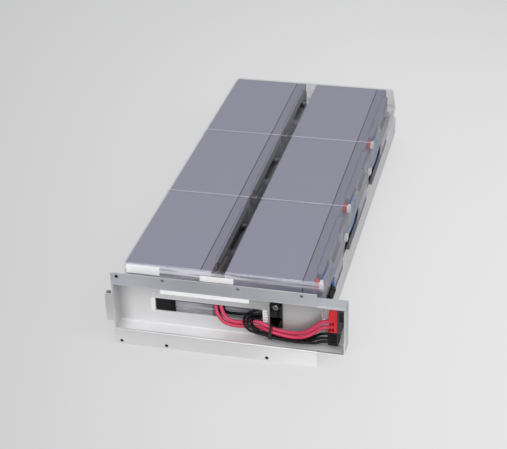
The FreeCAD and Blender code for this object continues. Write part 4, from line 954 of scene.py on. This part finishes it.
class CARTRIDGE_OT_plugs(bpy.types.Operator):
    """Finish the plug housings, the moulding beside them and the riveted clip"""

    bl_idname = "cartridge.plugs"
    bl_label = "Plugs"

    def execute(self, context):
        edge = sizes().moulding_edge
        red = moulded("plug_red", colours().red_plug, 0.36)
        black = moulded("plug_black", (0.006, 0.006, 0.007), 0.36, specular=0.16)
        dark = moulded("holder_dark", (0.045, 0.045, 0.05), 0.5, specular=0.3)
        milky = moulded("clip_milky", (0.50, 0.49, 0.50), 0.45)
        white = moulded("rivet_nylon", (0.85, 0.85, 0.85), 0.3)
        finished_copy("red_housing", "plug_housing_red", red, "plug_red", edge)
        finished_copy("black_housing", "plug_housing_black", black, "plug_black", edge)
        finished_copy("connector_holder", "plug_side_moulding", dark, "holder_black", edge)
        finished_copy("holder_clip", "plug_clip", milky, "milky_nylon", edge)
        finished_copy("holder_rivet", "plug_clip_rivet", white, "rivet_white", 0.0)
        return {"FINISHED"}


class CARTRIDGE_OT_harness(bpy.types.Operator):
    """Finish the cable clamp, its screw and the tie"""

    bl_idname = "cartridge.harness"
    bl_label = "Clamp and Tie"

    def execute(self, context):
        edge = sizes().moulding_edge
        nylon = moulded("clamp_nylon", (0.010, 0.010, 0.011), 0.26, specular=0.3)
        tie = moulded("tie_nylon", (0.018, 0.018, 0.02), 0.34, specular=0.3)
        steel = moulded("screw_steel", (0.35, 0.35, 0.36), 0.14, metallic=1.0)
        finished_copy("cable_clamp", "lead_clamp", nylon, "clamp_black", edge)
        finished_copy("cable_tie", "lead_tie", tie, "tie_black", 0.15 * MM)
        finished_copy("clamp_screw", "lead_clamp_screw", steel, "screw_steel", 0.08 * MM)
        return {"FINISHED"}


class CARTRIDGE_OT_spacers(bpy.types.Operator):
    """Finish the foam blocks between the clamshell and the bracket"""

    bl_idname = "cartridge.spacers"
    bl_label = "Foam Spacers"

    def execute(self, context):
        foam = moulded("foam_black", (0.014, 0.014, 0.015), 0.85, grain_scale=1400.0, bump=0.9, specular=0.15)
        for side in ("left", "right"):
            finished_copy("spacer_" + side, "foam_" + side, foam, "foam_black", 0.6 * MM)
        return {"FINISHED"}


class CARTRIDGE_OT_labels(bpy.types.Operator):
    """Finish the bare labels, which glow a little as painted light"""

    bl_idname = "cartridge.labels"
    bl_label = "Bare Labels"

    def execute(self, context):
        paper = moulded("label_paper_glowing", colours().label, 0.45, grain_scale=3500.0, bump=0.08)
        surface = paper.node_tree.nodes["Principled BSDF"]
        # Painted light: a faint glow makes the labels read whiter than the lamps light them
        surface.inputs["Emission Color"].default_value = (1.0, 1.0, 1.0, 1.0)
        surface.inputs["Emission Strength"].default_value = 0.12
        for place in ("left", "middle", "strip"):
            finished_copy("label_" + place, "bare_label_" + place, paper, "label_white", 0.0)
        return {"FINISHED"}


# Tone of the floor to the camera: in the middle, then how it changes with the distance in metres to either
# side, to the right alone, to the back, to the back squared, and to the right and back together
FLOOR_MIDDLE = 0.766
FLOOR_SIDEWAYS = 0.436
FLOOR_RIGHT = -0.226
FLOOR_BACK = 0.07
FLOOR_BACK_SQUARED = -0.188
FLOOR_RIGHT_AND_BACK = -0.341

# Least and greatest tone, tint of the floor's glow, and the share of the glow in what the camera sees
FLOOR_TONES = (0.50, 0.86)
FLOOR_GLOW_TINT = (1.0, 1.0, 1.007, 1.0)
FLOOR_GLOW_SHARE = 0.76

# Floor as the plating mirrors it, a glow that only reflections see, as painted reflection: how far out it
# turns dark, and how much brighter it is on the right
TURNS_DARK = (22.0 * MM, 60.0 * MM)
BRIGHTER_RIGHT = 0.62
BRIGHTER_RIGHT_X = (0.0, 90.0 * MM)

# Floor beside the pack as the walls mirror it, also a painted reflection: its brightness by the bracket, and
# where that gives way
AT_THE_BRACKET = 0.75
BESIDE_PACK_Y = (-180.0 * MM, -110.0 * MM)

# Painted shadow: dark floor below the pack and below the bracket
UNDER_PACK = ((-99.0 * MM, 79.0 * MM), (-232.0 * MM, 234.0 * MM))
UNDER_BRACKET = ((-109.0 * MM, 55.0 * MM), (-247.0 * MM, -238.0 * MM))
UNDER_PAINTED_SHADOW = (0.015, 0.015, 0.016, 1.0)


def floor_tone(tree, x, y):
    """Brightness of the bare floor to the camera, which falls off to the left and to the back."""
    tone = total(tree, FLOOR_MIDDLE, product(tree, x, FLOOR_SIDEWAYS),
                 product(tree, greatest(tree, x, 0.0), FLOOR_RIGHT), product(tree, y, FLOOR_BACK),
                 product(tree, y, y, FLOOR_BACK_SQUARED), product(tree, x, y, FLOOR_RIGHT_AND_BACK))
    limited = tree.nodes.new("ShaderNodeMapRange")
    for end, limit in zip(("Min", "Max"), FLOOR_TONES):
        limited.inputs["From " + end].default_value = limit
        limited.inputs["To " + end].default_value = limit
    tree.links.new(tone, limited.inputs["Value"])
    return limited.outputs[0]


def mirrored_floor(tree, x, y, stage):
    """Brightness of the floor to the plating and the walls, a glow seen only in reflections as painted
    reflection: bright at the bracket and dark further out.
    """
    out_front = math_node(tree, "SUBTRACT", BRACKET_FRONT_Y, y)
    brighter = total(tree, product(tree, ramp_between(tree, x, *BRIGHTER_RIGHT_X), BRIGHTER_RIGHT), 1.0)
    in_front = blend_values(tree, ramp_between(tree, out_front, *TURNS_DARK),
                            product(tree, brighter, stage.near_floor), stage.far_floor)
    beside = blend_values(tree, ramp_between(tree, y, *BESIDE_PACK_Y), AT_THE_BRACKET, stage.side_floor)
    return blend_values(tree, above(tree, y, RECESS_Y), in_front, beside)


def mixed_shader(tree, factor, first, second):
    """Shader that goes from the first to the second with the factor."""
    node = tree.nodes.new("ShaderNodeMixShader")
    for source, socket in zip((factor, first, second), node.inputs):
        tree.links.new(source, socket)
    return node.outputs[0]


def glow(tree, strength, colour=(1.0, 1.0, 1.0, 1.0)):
    """Emission of a colour, of the given strength."""
    node = tree.nodes.new("ShaderNodeEmission")
    node.inputs["Color"].default_value = colour
    tree.links.new(strength, node.inputs["Strength"])
    return node.outputs[0]


def floor_material(stage):
    """Pale floor that shows its own grey to the camera, a brighter band to the plating as painted reflection,
    a soft shadow, and a painted shadow below the pack and the bracket.
    """
    material, tree, principled = new_material("pale_floor")
    principled.inputs["Roughness"].default_value = 0.9
    spot = parts_of(tree, object_place(tree))
    x, y = spot["X"], spot["Y"]
    # Painted shadow: the floor is near black below the pack and the bracket
    under = greatest(tree, *(product(tree, within(tree, x, *across), within(tree, y, *along))
                             for across, along in (UNDER_PACK, UNDER_BRACKET)))
    bare = mix_colours(tree, under, (*stage.floor_grey, 1.0), UNDER_PAINTED_SHADOW)
    tree.links.new(bare, principled.inputs["Base Color"])
    light = tree.nodes.new("ShaderNodeLightPath").outputs
    glossy = light["Is Glossy Ray"]
    shown = mixed_shader(tree, glossy, glow(tree, floor_tone(tree, x, y), FLOOR_GLOW_TINT),
                         glow(tree, mirrored_floor(tree, x, y, stage)))
    seen = greatest(tree, light["Is Camera Ray"], light["Is Transmission Ray"])
    share = product(tree, greatest(tree, product(tree, seen, FLOOR_GLOW_SHARE), glossy), without(tree, under))
    surface = mixed_shader(tree, share, principled.outputs[0], shown)
    tree.links.new(surface, tree.nodes["Material Output"].inputs["Surface"])
    return material


def area_lamp(name, place, target, size, power):
    """Soft rectangular lamp that points at its target; places and size in metres."""
    bpy.ops.object.light_add(type="AREA", location=place)
    lamp = bpy.context.view_layer.objects.active
    lamp.name = name
    lamp.data.shape = "RECTANGLE"
    lamp.data.size, lamp.data.size_y = size
    lamp.data.energy = power
    lamp.rotation_euler = (Vector(target) - Vector(place)).to_track_quat("-Z", "Y").to_euler()


# Side of the floor in metres, and the tint of the even light
FLOOR_SIZE = 12.0
SKY_TINT = (0.97, 0.98, 1.0, 1.0)

# Camera as fitted to the pack: its place in metres, its turn in degrees and its frame in millimetres
CAMERA_PLACE = (0.29287, -1.25744, 0.74983)
CAMERA_TURN = (60.075, 1.435, 13.630)
FRAME_WIDTH = 36.0


class CARTRIDGE_OT_stage(bpy.types.Operator):
    """Lay the pale floor, set the lamps and place the camera"""

    bl_idname = "cartridge.stage"
    bl_label = "Stage"

    def execute(self, context):
        stage = context.scene.cartridge_stage
        bpy.ops.object.select_all(action="DESELECT")
        bpy.ops.mesh.primitive_plane_add(size=FLOOR_SIZE, location=(0.0, 0.0, 0.0))
        floor = context.view_layer.objects.active
        floor.name = "pale_floor"
        floor.data.materials.append(floor_material(stage))
        area_lamp("key_lamp", place=(1.3, -0.9, 1.2), target=(0.0, -0.05, 0.03), size=(1.3, 1.3),
                  power=stage.key_power)
        area_lamp("front_lamp", place=(0.25, -1.9, 1.35), target=(0.0, -0.2, 0.04), size=(1.8, 1.2),
                  power=stage.front_power)
        area_lamp("overhead_lamp", place=(-0.5, 0.5, 1.8), target=(0.0, 0.0, 0.0), size=(1.8, 1.8),
                  power=stage.overhead_power)
        world = context.scene.world or bpy.data.worlds.new("studio")
        context.scene.world = world
        world.use_nodes = True
        background = world.node_tree.nodes["Background"]
        background.inputs["Color"].default_value = SKY_TINT
        background.inputs["Strength"].default_value = stage.sky
        bpy.ops.object.camera_add(location=CAMERA_PLACE)
        camera = context.view_layer.objects.active
        camera.name = "product_camera"
        camera.rotation_euler = [math.radians(turn) for turn in CAMERA_TURN]
        camera.data.sensor_width = FRAME_WIDTH
        camera.data.lens = stage.lens
        context.scene.camera = camera
        context.scene.view_settings.view_transform = "Standard"
        return {"FINISHED"}


PIECE_OPERATORS = (
    CARTRIDGE_OT_blocks, CARTRIDGE_OT_terminals, CARTRIDGE_OT_clamshell, CARTRIDGE_OT_bracket,
    CARTRIDGE_OT_leads, CARTRIDGE_OT_plugs, CARTRIDGE_OT_harness, CARTRIDGE_OT_spacers,
    CARTRIDGE_OT_labels, CARTRIDGE_OT_stage)


class CARTRIDGE_PT_panel(bpy.types.Panel):
    """Sidebar panel with one button for each group of pieces"""

    bl_idname = "CARTRIDGE_PT_panel"
    bl_label = "Battery Cartridge"
    bl_space_type = "VIEW_3D"
    bl_region_type = "UI"
    bl_category = "Cartridge"

    def draw(self, context):
        for operator in PIECE_OPERATORS:
            self.layout.operator(operator.bl_idname)


PROPERTY_GROUPS = (CartridgeSizes, CartridgeColours, CartridgeStage)


def register():
    """Makes the properties, the operators and the panel known to Blender."""
    for group in PROPERTY_GROUPS + PIECE_OPERATORS + (CARTRIDGE_PT_panel,):
        bpy.utils.register_class(group)
    bpy.types.Scene.cartridge_sizes = bpy.props.PointerProperty(type=CartridgeSizes)
    bpy.types.Scene.cartridge_colours = bpy.props.PointerProperty(type=CartridgeColours)
    bpy.types.Scene.cartridge_stage = bpy.props.PointerProperty(type=CartridgeStage)


def unregister():
    """Takes the properties, the operators and the panel away again."""
    del bpy.types.Scene.cartridge_stage
    del bpy.types.Scene.cartridge_colours
    del bpy.types.Scene.cartridge_sizes
    for group in reversed(PROPERTY_GROUPS + PIECE_OPERATORS + (CARTRIDGE_PT_panel,)):
        bpy.utils.unregister_class(group)


def main():
    """Makes every piece and the stage."""
    register()
    bpy.ops.cartridge.blocks()
    bpy.ops.cartridge.terminals()
    bpy.ops.cartridge.clamshell()
    bpy.ops.cartridge.bracket()
    bpy.ops.cartridge.leads()
    bpy.ops.cartridge.plugs()
    bpy.ops.cartridge.harness()
    bpy.ops.cartridge.spacers()
    bpy.ops.cartridge.labels()
    bpy.ops.cartridge.stage()


if __name__ == "__main__":
    main()
